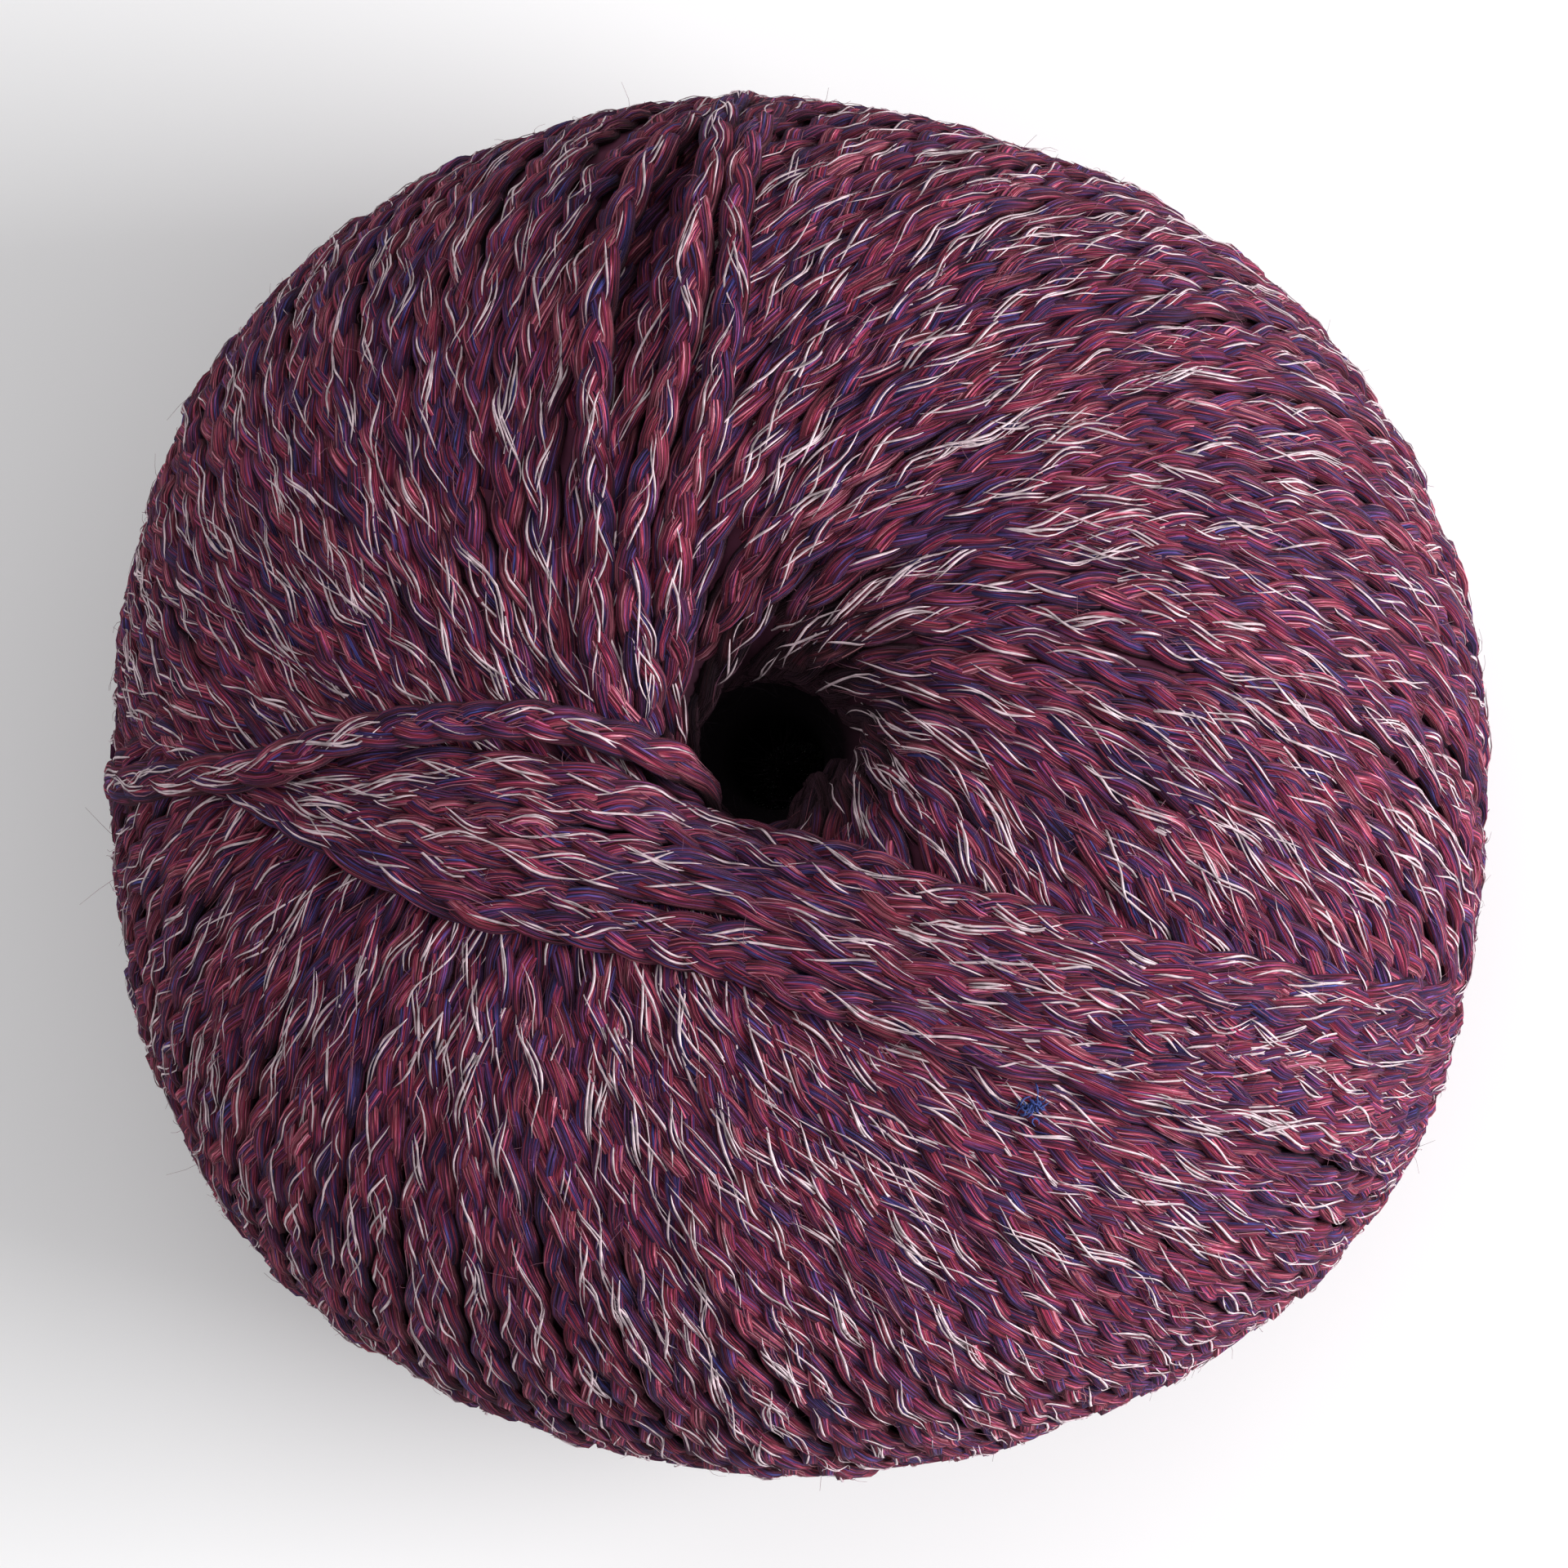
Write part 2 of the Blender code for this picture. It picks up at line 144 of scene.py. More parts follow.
# The turns: how many go round, and where they bulge up or sink at the hole's lip
TURNS_ROUND = 108
LIP_SPOTS = [
    # azimuth, rise, half width in degrees, half depth in arc
    (322.0, 1.7, 20.0, 0.07),
    (6.0, -2.0, 18.0, 0.10),
]
LAST_LAYER_FROM = 180.0
LAST_LAYER_TO = 338.0
LAST_LAYER_SHARE = [
    # azimuth at the widest line, share of the lean
    (180.0, 1.0),
    (270.0, 1.0),
    (338.0, 0.62),
]
BAND_STRANDS = 6
BAND_INNER = [
    # azimuth, arc, height over the body
    (172.0, 1.300, -2.2),
    (177.0, 1.100, -2.2),
    (179.5, 0.960, -2.0),
    (180.6, 0.830, -1.8),
    (181.3, 0.700, -1.2),
    (181.6, 0.600, -0.5),
    (181.8, 0.530, 0.1),
    (182.0, 0.430, 0.6),
    (182.6, 0.335, 0.9),
    (188.0, 0.230, 1.0),
    (209.0, 0.145, 1.1),
    (257.6, 0.100, 1.0),
    (301.0, 0.155, 1.0),
    (316.5, 0.230, 1.1),
    (326.8, 0.340, 1.1),
    (332.4, 0.464, 0.9),
    (337.4, 0.640, 0.6),
    (341.7, 0.915, 0.2),
    (346.0, 1.250, -0.2),
    (352.0, 1.500, -1.6),
]
BAND_OUTER = [
    # azimuth, arc, height over the body
    (150.0, 1.350, -0.9),
    (157.0, 1.170, -0.1),
    (164.0, 1.000, 0.0),
    (170.0, 0.893, 0.0),
    (175.6, 0.755, 0.1),
    (181.4, 0.619, 0.4),
    (185.7, 0.550, 0.7),
    (194.3, 0.455, 1.0),
    (205.7, 0.374, 1.2),
    (221.0, 0.299, 1.3),
    (242.5, 0.254, 1.3),
    (265.0, 0.251, 1.3),
    (284.0, 0.283, 1.3),
    (297.7, 0.340, 1.2),
    (310.3, 0.439, 1.0),
    (318.0, 0.551, 0.8),
    (324.0, 0.708, 0.6),
    (330.0, 1.000, 0.3),
    (336.0, 1.320, -0.2),
    (342.0, 1.560, -1.6),
]
YARN_END = [
    # azimuth, arc, height over the body
    (164.0, 1.560, -1.6),
    (171.0, 1.340, -0.1),
    (176.0, 1.150, 0.3),
    (178.5, 1.007, 0.4),
    (180.5, 0.860, 0.7),
    (181.3, 0.673, 1.3),
    (181.1, 0.550, 2.0),
    (178.9, 0.474, 2.4),
    (176.8, 0.395, 2.5),
    (174.5, 0.305, 2.4),
    (174.6, 0.224, 2.3),
    (181.5, 0.150, 2.1),
    (198.0, 0.092, 1.6),
    (214.0, 0.056, 0.7),
    (227.0, 0.020, -0.5),
    (240.0, -0.050, -1.0),
    (254.0, -0.130, -1.0),
]

# Strands that lie proud over the far side's turns, and the hollow between the first two of them
PROUD = [
    [
        # azimuth, arc, height over the body
        (93.0, 0.980, -1.6),
        (96.5, 0.860, -0.4),
        (98.8, 0.780, 0.4),
        (101.3, 0.711, 0.8),
        (104.8, 0.636, 0.9),
        (109.2, 0.546, 0.9),
        (113.4, 0.465, 0.9),
        (119.0, 0.373, 0.9),
        (126.7, 0.297, 0.8),
        (137.2, 0.247, 0.6),
        (161.1, 0.188, 0.3),
        (176.0, 0.160, -0.6),
    ],
    [
        (84.0, 1.400, -1.6),
        (88.5, 1.200, -0.9),
        (91.5, 1.080, -0.4),
        (93.4, 0.960, 0.1),
        (94.7, 0.830, 0.7),
        (95.6, 0.715, 1.1),
        (97.4, 0.614, 1.2),
        (98.8, 0.532, 1.2),
        (101.3, 0.456, 1.1),
        (105.3, 0.396, 1.0),
        (111.2, 0.333, 1.0),
        (119.9, 0.277, 0.9),
        (133.5, 0.211, 0.8),
        (154.7, 0.147, 0.5),
        (172.0, 0.120, -0.4),
    ],
    [
        (82.0, 1.250, -1.6),
        (86.5, 1.080, -1.2),
        (89.2, 0.920, -0.3),
        (91.3, 0.810, 0.4),
        (92.9, 0.714, 0.9),
        (93.6, 0.611, 0.9),
        (94.5, 0.498, 0.9),
        (96.5, 0.422, 0.9),
        (99.5, 0.356, 0.8),
        (106.1, 0.296, 0.8),
        (116.3, 0.222, 0.7),
        (136.2, 0.147, 0.4),
        (150.0, 0.110, -0.6),
    ],
]
HOLLOW_WIDTH = 5.0
HOLLOW = [
    # arc, azimuth, depth
    (0.30, 116.0, 0.0),
    (0.42, 109.5, 1.6),
    (0.53, 104.8, 3.0),
    (0.68, 102.2, 3.0),
    (0.80, 99.5, 1.6),
    (0.92, 98.0, 0.0),
]

# Where a tuft of blue fibres is caught: azimuth, arc, height over the body
TUFT = (306.6, 0.472, 1.25)

# The camera, as the photograph is taken
VIEW_AZIMUTH = 40.0
VIEW_ELEVATION = 84.5
VIEW_DISTANCE = 750.0
VIEW_WIDTH = 108.2
VIEW_SHIFT = (-0.66, 0.11)


def section():
    """Half the body's section: the hole's wall, a lip, the outer face and the bottom lip.

    With t the angle, a lip is (crest + a cos t, top - b + b sin t), a quarter of an ellipse, and the face is
    (crest + a cos^(2/n) t, middle + b sin^(2/n) t), a superellipse.
    Returns distance along it (0 at the top lip, negative down the hole's wall), radius and height.
    """
    lip = np.linspace(math.pi, math.pi / 2, 60)
    outer = np.linspace(math.pi / 2, 0.0, 300)[1:]
    bottom = -SETTLE

    def quarter(angles, rise):
        """Radius and height along a quarter of the face, which rises by so much from the widest line."""
        reach = MEAN_RADIUS - CREST_RADIUS
        sideways = np.abs(np.cos(angles)) ** (2 / FULLNESS)
        return CREST_RADIUS + reach * sideways, WIDEST_HEIGHT + rise * np.sin(angles) ** (2 / FULLNESS)

    top_r, top_z = quarter(outer, BODY_TOP - WIDEST_HEIGHT)
    low_r, low_z = quarter(outer[::-1], bottom - WIDEST_HEIGHT)
    lip_r = CREST_RADIUS + (CREST_RADIUS - HOLE_RADIUS) * np.cos(lip)
    lip_z = BODY_TOP - LIP_DROP + LIP_DROP * np.sin(lip)
    low_lip_z = bottom + LIP_DROP - LIP_DROP * np.sin(lip[::-1])
    radius = np.concatenate([[HOLE_RADIUS], lip_r, top_r, low_r[1:], lip_r[::-1]])
    height = np.concatenate([[WIDEST_HEIGHT], lip_z, top_z, low_z[1:], low_lip_z])
    distance = np.concatenate([[0.0], np.cumsum(np.hypot(np.diff(radius), np.diff(height)))])
    return distance - distance[1], radius, height


MEAN_RADIUS = float(np.mean(OUTLINE))
DISTANCE, RADIUS, HEIGHT = section()
WIDEST = DISTANCE[np.argmax(RADIUS)]
FULL = DISTANCE[-1]


def outline_radius(azimuth):
    """The widest radius at an azimuth: a sum of eight waves through the radii of the table."""
    waves = np.fft.rfft(OUTLINE) / len(OUTLINE)
    total = np.full(np.shape(azimuth), waves[0].real)
    for n in range(1, OUTLINE_WAVES + 1):
        total = total + 2 * (waves[n].real * np.cos(n * azimuth) - waves[n].imag * np.sin(n * azimuth))
    return total


def distance_at(arc):
    """Distance along the section: arc 0 is the top lip, 1 the widest line and 2 the bottom lip."""
    arc = np.asarray(arc, float)
    return np.where(arc <= 1, arc * WIDEST, WIDEST + (arc - 1) * (FULL - WIDEST))


def on_body(arc, azimuth, rise=0.0):
    """Points and normals over the body, pointing out from it: the section's point, moved along its normal by
    the rise.
    """
    distance = np.clip(distance_at(arc), DISTANCE[0] + 0.3, FULL - 0.3)
    radius = np.interp(distance, DISTANCE, RADIUS)
    height = np.interp(distance, DISTANCE, HEIGHT)
    ahead, behind = distance + 0.3, distance - 0.3
    along_r = np.interp(ahead, DISTANCE, RADIUS) - np.interp(behind, DISTANCE, RADIUS)
    along_z = np.interp(ahead, DISTANCE, HEIGHT) - np.interp(behind, DISTANCE, HEIGHT)
    size = np.hypot(along_r, along_z)
    out_r, out_z = -along_z / size, along_r / size
    share = np.clip((radius - HOLE_RADIUS) / (MEAN_RADIUS - HOLE_RADIUS), 0, 1)
    radius = radius * (1 + share * (outline_radius(azimuth) / MEAN_RADIUS - 1)) + rise * out_r
    height = height + rise * out_z
    cosine, sine = np.cos(azimuth), np.sin(azimuth)
    across = radius * cosine + (1 - share) * HOLE_OFFSET[0] + BALL_CENTRE[0]
    back = radius * sine + (1 - share) * HOLE_OFFSET[1] + BALL_CENTRE[1]
    points = np.stack([across, back, height], -1)
    normals = np.stack([out_r * cosine, out_r * sine, out_z], -1)
    return points, normals


TURN_GRID = np.linspace(-0.4, 2.0, 1201)


def last_layer_turn():
    """How far a strand of the last layer has turned, in degrees, from the widest line to each arc of the grid.

    It is the running sum of tan(lean) / radius along the section.
    """
    arcs, leans = np.array(LAST_LAYER_LEAN).T
    lean = np.interp(1 - np.abs(TURN_GRID - 1), arcs, leans)
    distance = distance_at(TURN_GRID)
    slope = np.tan(np.radians(lean)) / np.interp(distance, DISTANCE, RADIUS)
    turned = np.concatenate([[0.0], np.cumsum(np.diff(distance) * (slope[1:] + slope[:-1]) / 2)])
    return np.degrees(np.interp(1.0, TURN_GRID, turned) - turned)


LAST_TURN = last_layer_turn()


def turn(arc):
    """How far a strand of the last layer has turned between the widest line and an arc, in degrees."""
    return np.interp(arc, TURN_GRID, LAST_TURN)


def lean_at(arc, azimuth):
    """Lean of the body's strands at an arc and azimuth: straight steps between the table's values both ways."""
    rows = np.array(LEAN + [(LEAN[0][0] + 360.0, *LEAN[0][1:])])
    depth = 1 - abs(arc - 1)
    by_side = [np.interp(azimuth % 360, rows[:, 0], rows[:, n + 1]) for n in range(len(LEAN_ARCS))]
    place = np.interp(depth, LEAN_ARCS, np.arange(len(LEAN_ARCS)))
    low = min(int(place), len(LEAN_ARCS) - 2)
    return by_side[low] + (place - low) * (by_side[low + 1] - by_side[low])


def body_azimuths(count):
    """Azimuth of each of the body's strands at every arc of the grid, in degrees.

    Each starts at an even place on the widest line and goes both ways in short steps of tan(lean) / radius.
    """
    azimuth = np.zeros((count, len(TURN_GRID)))
    middle = int(np.argmin(np.abs(TURN_GRID - 1)))
    distance = distance_at(TURN_GRID)
    radius = np.interp(distance, DISTANCE, RADIUS)
    azimuth[:, middle] = np.arange(count) * 360.0 / count
    for way in (-1, 1):
        at = middle
        while 0 <= at + way < len(TURN_GRID):
            step = abs(distance[at + way] - distance[at]) / radius[at]
            moved = np.degrees(np.tan(np.radians(lean_at(TURN_GRID[at], azimuth[:, at]))) * step)
            azimuth[:, at + way] = azimuth[:, at] - way * moved
            at += way
    return azimuth


def unit(vectors):
    """Vectors divided by their own lengths."""
    return vectors / np.linalg.norm(vectors, axis=-1, keepdims=True)


def smooth_step(value, low, high):
    """0 below low, 1 above high and a smooth S between."""
    t = np.clip((value - low) / (high - low), 0, 1)
    return t * t * (3 - 2 * t)


def through(rows, count):
    """A table's rows as a smooth curve at even steps: cubic pieces with slopes from the neighbours."""
    table = np.array(rows, float)
    slopes = np.gradient(table, axis=0)
    t = np.linspace(0, len(table) - 1, count)
    cell = np.minimum(t.astype(int), len(table) - 2)
    u = (t - cell)[:, None]
    a, b, sa, sb = table[cell], table[cell + 1], slopes[cell], slopes[cell + 1]
    return (
        (2 * u**3 - 3 * u**2 + 1) * a
        + (u**3 - 2 * u**2 + u) * sa
        + (3 * u**2 - 2 * u**3) * b
        + (u**3 - u**2) * sb
    )


def table_arc(rows, azimuth):
    """The arc of a route where it crosses an azimuth."""
    table = np.array(rows)
    return np.interp(azimuth, table[:, 0], table[:, 1])


def over_last_layer(arc, azimuth):
    """Signed depth, in degrees or so, of a place inside the bounds of the last layer: positive inside."""
    share_at, share = np.array(LAST_LAYER_SHARE).T
    start = azimuth % 360
    for _ in range(6):
        start = azimuth % 360 + turn(arc) * np.interp(start, share_at, share)
    sides = np.minimum(start - LAST_LAYER_FROM, LAST_LAYER_TO - start)
    band = (arc - table_arc(BAND_OUTER, azimuth % 360)) * 60
    left = np.where(arc < 1.1, (azimuth % 360 - 179.0), 99.0)
    return np.minimum(np.minimum(sides, band), np.minimum(left, (1.62 - arc) * 60))


def under_band(arc, azimuth):
    """Signed depth, in degrees or so, of a place inside the crossing band, which hides the strands below."""
    degrees = azimuth % 360
    inner = (arc - table_arc(BAND_INNER, degrees)) * 60
    outer = (table_arc(BAND_OUTER, degrees) - arc) * 60
    return np.minimum(np.minimum(inner, outer), np.minimum(degrees - 182.0, 346.0 - degrees))


def sunken(arc, azimuth):
    """How deep the turns lie in the hollow between two proud strands: a bell across, and a table along it."""
    arcs, middles, depths = np.array(HOLLOW).T
    away = (azimuth % 360 - np.interp(arc, arcs, middles)) / HOLLOW_WIDTH
    return np.interp(arc, arcs, depths) * np.exp(-(away**2))


def wander(length, sizes):
    """A slow random wave along a strand: three sines of about the given lengths, with random phases."""
    total = np.zeros_like(length)
    for wave, size in sizes:
        pace = 2 * math.pi * length / (wave * RANDOM.uniform(0.8, 1.25))
        total += size * np.sin(pace + RANDOM.uniform(0, 6.3))
    return total


class Yarn:
    """Collects many strands: the stretches that they are made in, and the tubes round their plies."""

    def __init__(self):
        self.tubes = []
        self.stretches = []

    def strand(self, arc, azimuth, rise, keep=None, width=1.0, sides=5):
        """One strand along a route: azimuth in degrees. Only the stretches where keep is true are made."""
        keep = np.ones(len(arc), bool) if keep is None else keep
        edges = np.flatnonzero(np.diff(np.concatenate([[0], keep.astype(int), [0]])))
        for first, last in zip(edges[::2], edges[1::2]):
            if last - first < 8:
                continue
            part = slice(first, last)
            self._stretch(arc[part], azimuth[part], rise[part], width, sides)

    def _stretch(self, arc, azimuth, rise, width, sides):
        """One unbroken stretch: its centre line at even steps, then the three plies round that."""
        centre, normal = on_body(arc, np.radians(azimuth), rise)
        length = np.concatenate([[0.0], np.cumsum(np.linalg.norm(np.diff(centre, axis=0), axis=1))])
        if length[-1] < SHORTEST_STRETCH:
            return
        step = np.where(arc < COARSE_BELOW, FINE_STEP, COARSE_STEP)
        work = np.concatenate([[0.0], np.cumsum(np.diff(length) / step[1:])])
        count = int(work[-1]) + 2
        at = np.interp(np.linspace(0, work[-1], count), work, length)
        arc_at = np.interp(at, length, arc)
        shown = smooth_step(np.interp(at, length, rise), -1.7, -0.6) * smooth_step(arc_at, 0.02, 0.15)
        shown = shown * smooth_step(np.minimum(at, length[-1] - at), 0.5, 5.0) + 0.001
        centre = np.stack([np.interp(at, length, centre[:, k]) for k in range(3)], -1)
        normal = np.stack([np.interp(at, length, normal[:, k]) for k in range(3)], -1)
        centre[:, 2] = np.maximum(centre[:, 2], 0.98)
        along = unit(np.gradient(centre, axis=0))
        side = unit(np.cross(normal, along))
        normal = np.cross(along, side)

        # Plait: a ply swings sideways as sin(t) and in depth as sin(2t), the three a third of a turn apart
        pace = PLAIT_LENGTH * (1 + wander(at, [(60.0, 0.04)]))
        t = 2 * math.pi * (at / pace + RANDOM.random())
        phase = t[None, :] + (2 * math.pi / 3) * np.arange(3)[:, None]
        puff = 1 + wander(at, [(17.0, 0.05), (7.0, 0.04)])
        sideways = PLAIT_SIDEWAYS * width * np.sin(phase) * puff
        depth = PLAIT_DEPTH * np.sin(2 * phase) + RANDOM.normal(0, 0.03, (3, 1))
        sideways = sideways + np.stack([wander(at, [(13.0, 0.09), (6.0, 0.05)]) for _ in range(3)])
        paths = centre[None] + side[None] * sideways[..., None] + normal[None] * depth[..., None]
        leg = unit(np.gradient(paths, axis=1))
        up = unit(normal[None] - leg * np.sum(normal[None] * leg, axis=2, keepdims=True))
        out = np.cross(up, leg)
        swell = puff[None] * (1 + 0.08 * np.cos(2 * phase))
        half_width = PLY_HALF_WIDTH * width * swell
        half_depth = PLY_HALF_DEPTH * swell
        made = dict(paths=paths, out=out, up=up, half_width=half_width, half_depth=half_depth, at=at)
        made |= dict(arc_at=arc_at, shown=shown, centre=centre, side=side, normal=normal)
        self.stretches.append(SimpleNamespace(sideways=sideways, depth=depth, phase=phase, **made))
        turned = np.radians(np.interp(at, length, azimuth))
        # Painted shade down the funnel: taken off the ply's depth, so the yarn's colour darkens towards the
        # hole's lip.
        gloom = GLOOM * (1 - smooth_step(arc_at, -0.02, GLOOM_END + 0.09 * np.cos(turned - 0.9)))
        self.tubes.append(tube_grid(paths, out, up, half_width, half_depth, at, sides, depth - gloom))


def tube_grid(paths, out, up, half_width, half_depth, at, sides, depth=None):
    """Rings of an ellipse carried along each path of a batch: point = path + out w cos(a) + up d sin(a).

    Each tube ends in a point. Returns points, four-sided faces, end triangles, the faces' map coordinates
    (distance along the tube and round it, in millimetres) and, for the yarn's painted shade, how far out each
    point lies in its strand (the depths given may already carry the painted shade down the funnel).
    """
    batch, rings = paths.shape[:2]
    angle = 2 * math.pi * (np.arange(sides) / sides) - math.pi / 2
    ring = (
        paths[:, :, None, :]
        + out[:, :, None, :] * (half_width[..., None] * np.cos(angle))[..., None]
        + up[:, :, None, :] * (half_depth[..., None] * np.sin(angle))[..., None]
    )
    per_tube = rings * sides + 2
    tips = np.stack([paths[:, 0], paths[:, -1]], axis=1)
    points = np.concatenate([ring.reshape(batch, -1, 3), tips], axis=1).reshape(-1, 3)
    if depth is None:
        height = np.ones(len(points))
    else:
        round_it = depth[..., None] + half_depth[..., None] * np.sin(angle)
        height = np.concatenate([round_it.reshape(batch, -1), np.zeros((batch, 2))], axis=1).reshape(-1)
    base = np.arange(batch)[:, None, None] * per_tube
    row = np.arange(rings - 1)[None, :, None] * sides
    column = np.arange(sides)[None, None, :]
    following = (column + 1) % sides
    here, ahead = base + row + column, base + row + following
    quads = np.stack([here, ahead, ahead + sides, here + sides], -1).reshape(-1, 4)
    first, last = per_tube - 2, per_tube - 1
    column, following, base = column[0], following[0], base[:, 0]
    end_base = base + (rings - 1) * sides
    first_tip = np.broadcast_to(base + first, (batch, sides))
    last_tip = np.broadcast_to(base + last, (batch, sides))
    start_cap = np.stack([base + following, base + column, first_tip], -1)
    end_cap = np.stack([end_base + column, end_base + following, last_tip], -1)
    caps = np.concatenate([start_cap, end_cap], axis=1).reshape(-1, 3)
    girth = 2 * math.pi * float(np.mean(half_width)) / sides
    start = RANDOM.uniform(0, 4000, (batch, 1, 1))
    u0 = np.broadcast_to(start + at[None, :-1, None], (batch, rings - 1, sides))
    u1 = np.broadcast_to(start + at[None, 1:, None], (batch, rings - 1, sides))
    v0 = np.broadcast_to(np.arange(sides)[None, None, :] * girth, u0.shape)
    v1 = v0 + girth
    quad_map = np.stack([u0, v0, u0, v1, u1, v1, u1, v0], -1).reshape(-1, 2)
    cap_map = np.repeat(np.stack([start[:, 0, 0], np.zeros(batch)], -1), 2 * sides * 3, axis=0)
    return points, quads, caps, quad_map, cap_map, height


def new_object(name, data):
    """An object of the scene, for a mesh, a light or a camera."""
    thing = bpy.data.objects.new(name, data)
    bpy.context.scene.collection.objects.link(thing)
    return thing


def piece(name, grids, material):
    """One mesh object from many tube grids, with its map coordinates, smooth faces and material."""
    points, quads, caps, quad_map, cap_map, heights = zip(*grids)
    offsets = np.cumsum([0] + [len(part) for part in points[:-1]])
    points = np.concatenate(points)
    quads = np.concatenate([part + offset for part, offset in zip(quads, offsets)])
    caps = np.concatenate([part + offset for part, offset in zip(caps, offsets)])
    points[:, 2] = np.maximum(points[:, 2], 0.02)
    mesh = bpy.data.meshes.new(name)
    mesh.vertices.add(len(points))
    mesh.vertices.foreach_set("co", (points * 0.001).astype(np.float32).ravel())
    corners = np.concatenate([quads.ravel(), caps.ravel()]).astype(np.int32)
    mesh.loops.add(len(corners))
    mesh.loops.foreach_set("vertex_index", corners)
    mesh.polygons.add(len(quads) + len(caps))
    starts = np.concatenate([np.arange(len(quads)) * 4, len(quads) * 4 + np.arange(len(caps)) * 3])
    mesh.polygons.foreach_set("loop_start", starts.astype(np.int32))
    mesh.update(calc_edges=True)
    mesh.polygons.foreach_set("use_smooth", np.ones(len(quads) + len(caps), bool))
    layer = mesh.uv_layers.new(name="along_yarn")
    layer.data.foreach_set("uv", (np.concatenate(quad_map + cap_map) * 0.01).astype(np.float32).ravel())
    # Painted shade: how far out each point lies in its strand, less the funnel's painted shade; the yarn's
    # colour darkens where it is low.
    painted_shade = mesh.attributes.new("painted_shade", "FLOAT", "POINT")
    painted_shade.data.foreach_set("value", np.concatenate(heights).astype(np.float32))
    mesh.validate()
    thing = new_object(name, mesh)
    mesh.materials.append(material)
    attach(thing, "root")
    return thing


def set_inputs(made, **values):
    """A node's inputs set by name, with the spaces of a name written as underscores."""
    for key, value in values.items():
        made.inputs[key.replace("_", " ")].default_value = value


def node(tree, kind, place, **values):
    """A node of a material, with its inputs set by name."""
    made = tree.nodes.new(kind)
    made.location = place
    set_inputs(made, **values)
    return made


def ramp(tree, place, stops):
    """A colour ramp with the given stops."""
    made = node(tree, "ShaderNodeValToRGB", place)
    bar = made.color_ramp
    while len(bar.elements) < len(stops):
        bar.elements.new(0.5)
    for element, (position, colour) in zip(bar.elements, stops):
        element.position = position
        element.color = (*colour, 1.0)
    return made


def new_material(name):
    """A material with its node tree and its shader."""
    material = bpy.data.materials.new(name)
    material.use_nodes = True
    return material, material.node_tree, material.node_tree.nodes["Principled BSDF"]


def plum_yarn():
    """Wool-like plies: fibres that run along them, each from navy or purple through burgundy to coral pink.

    Three noises run along the yarn's map: fine streaks (light and dark fibres), locks of fibres (hue), and slow
    patches that shift the hue. Painted shade darkens the colour deep between the plies and down the funnel to
    the hole.
    """
    material, tree, shader = new_material("plum_yarn")
    place = node(tree, "ShaderNodeUVMap", (-1700, 0))
    place.uv_map = "along_yarn"

    def noise(row, stretch, detail, distortion):
        """A noise over the yarn's map, so many to a unit along it and round it."""
        mapping = node(tree, "ShaderNodeMapping", (-1500, row), Scale=(*stretch, 1.0))
        kind = dict(Scale=1.0, Detail=detail, Distortion=distortion, Roughness=0.62)
        texture = node(tree, "ShaderNodeTexNoise", (-1300, row), **kind)
        texture.noise_dimensions = "2D"
        tree.links.new(place.outputs["UV"], mapping.inputs["Vector"])
        tree.links.new(mapping.outputs["Vector"], texture.inputs["Vector"])
        return texture.outputs["Fac"]

    streaks = noise(300, (24.0, 800.0), 3.0, 0.5)
    locks = noise(0, (15.0, 380.0), 2.0, 0.6)
    patches = noise(-300, (7.0, 40.0), 1.0, 0.4)

    shift = node(tree, "ShaderNodeMath", (-1050, -100))
    shift.operation = "MULTIPLY_ADD"
    shift.inputs[1].default_value = PATCH_SHARE
    tree.links.new(patches, shift.inputs[0])
    tree.links.new(locks, shift.inputs[2])
    hue = ramp(tree, (-850, -150), HUES)
    light = ramp(tree, (-850, 200), STREAKS)
    tree.links.new(shift.outputs["Value"], hue.inputs["Fac"])
    tree.links.new(streaks, light.inputs["Fac"])

    # Painted shade: the colour is darkest deep between the plies and down the funnel, and lightest on the
    # plies' outer faces.
    painted_shade = node(tree, "ShaderNodeAttribute", (-1050, -450))
    painted_shade.attribute_name = "painted_shade"
    painted_shade_range = dict(From_Min=-0.30, From_Max=0.75, To_Min=0.03, To_Max=1.38)
    level = node(tree, "ShaderNodeMapRange", (-850, -450), **painted_shade_range)
    tree.links.new(painted_shade.outputs["Fac"], level.inputs["Value"])

    def multiply(place_at, first, second):
        """One colour times another."""
        mix = node(tree, "ShaderNodeMix", place_at, Factor=1.0)
        mix.data_type = "RGBA"
        mix.blend_type = "MULTIPLY"
        tree.links.new(first, mix.inputs["A"])
        tree.links.new(second, mix.inputs["B"])
        return mix.outputs["Result"]

    streaked = multiply((-550, 50), hue.outputs["Color"], light.outputs["Color"])
    shaded = multiply((-350, 50), streaked, level.outputs["Result"])
    tree.links.new(shaded, shader.inputs["Base Color"])

    bump = node(tree, "ShaderNodeBump", (-300, -250), Strength=1.0, Distance=0.0004)
    tree.links.new(streaks, bump.inputs["Height"])
    tree.links.new(bump.outputs["Normal"], shader.inputs["Normal"])
    set_inputs(shader, Roughness=0.85, Specular_IOR_Level=0.1)
    set_inputs(shader, Sheen_Weight=0.15, Sheen_Roughness=0.35, Sheen_Tint=(0.75, 0.34, 0.50, 1.0))
    return material


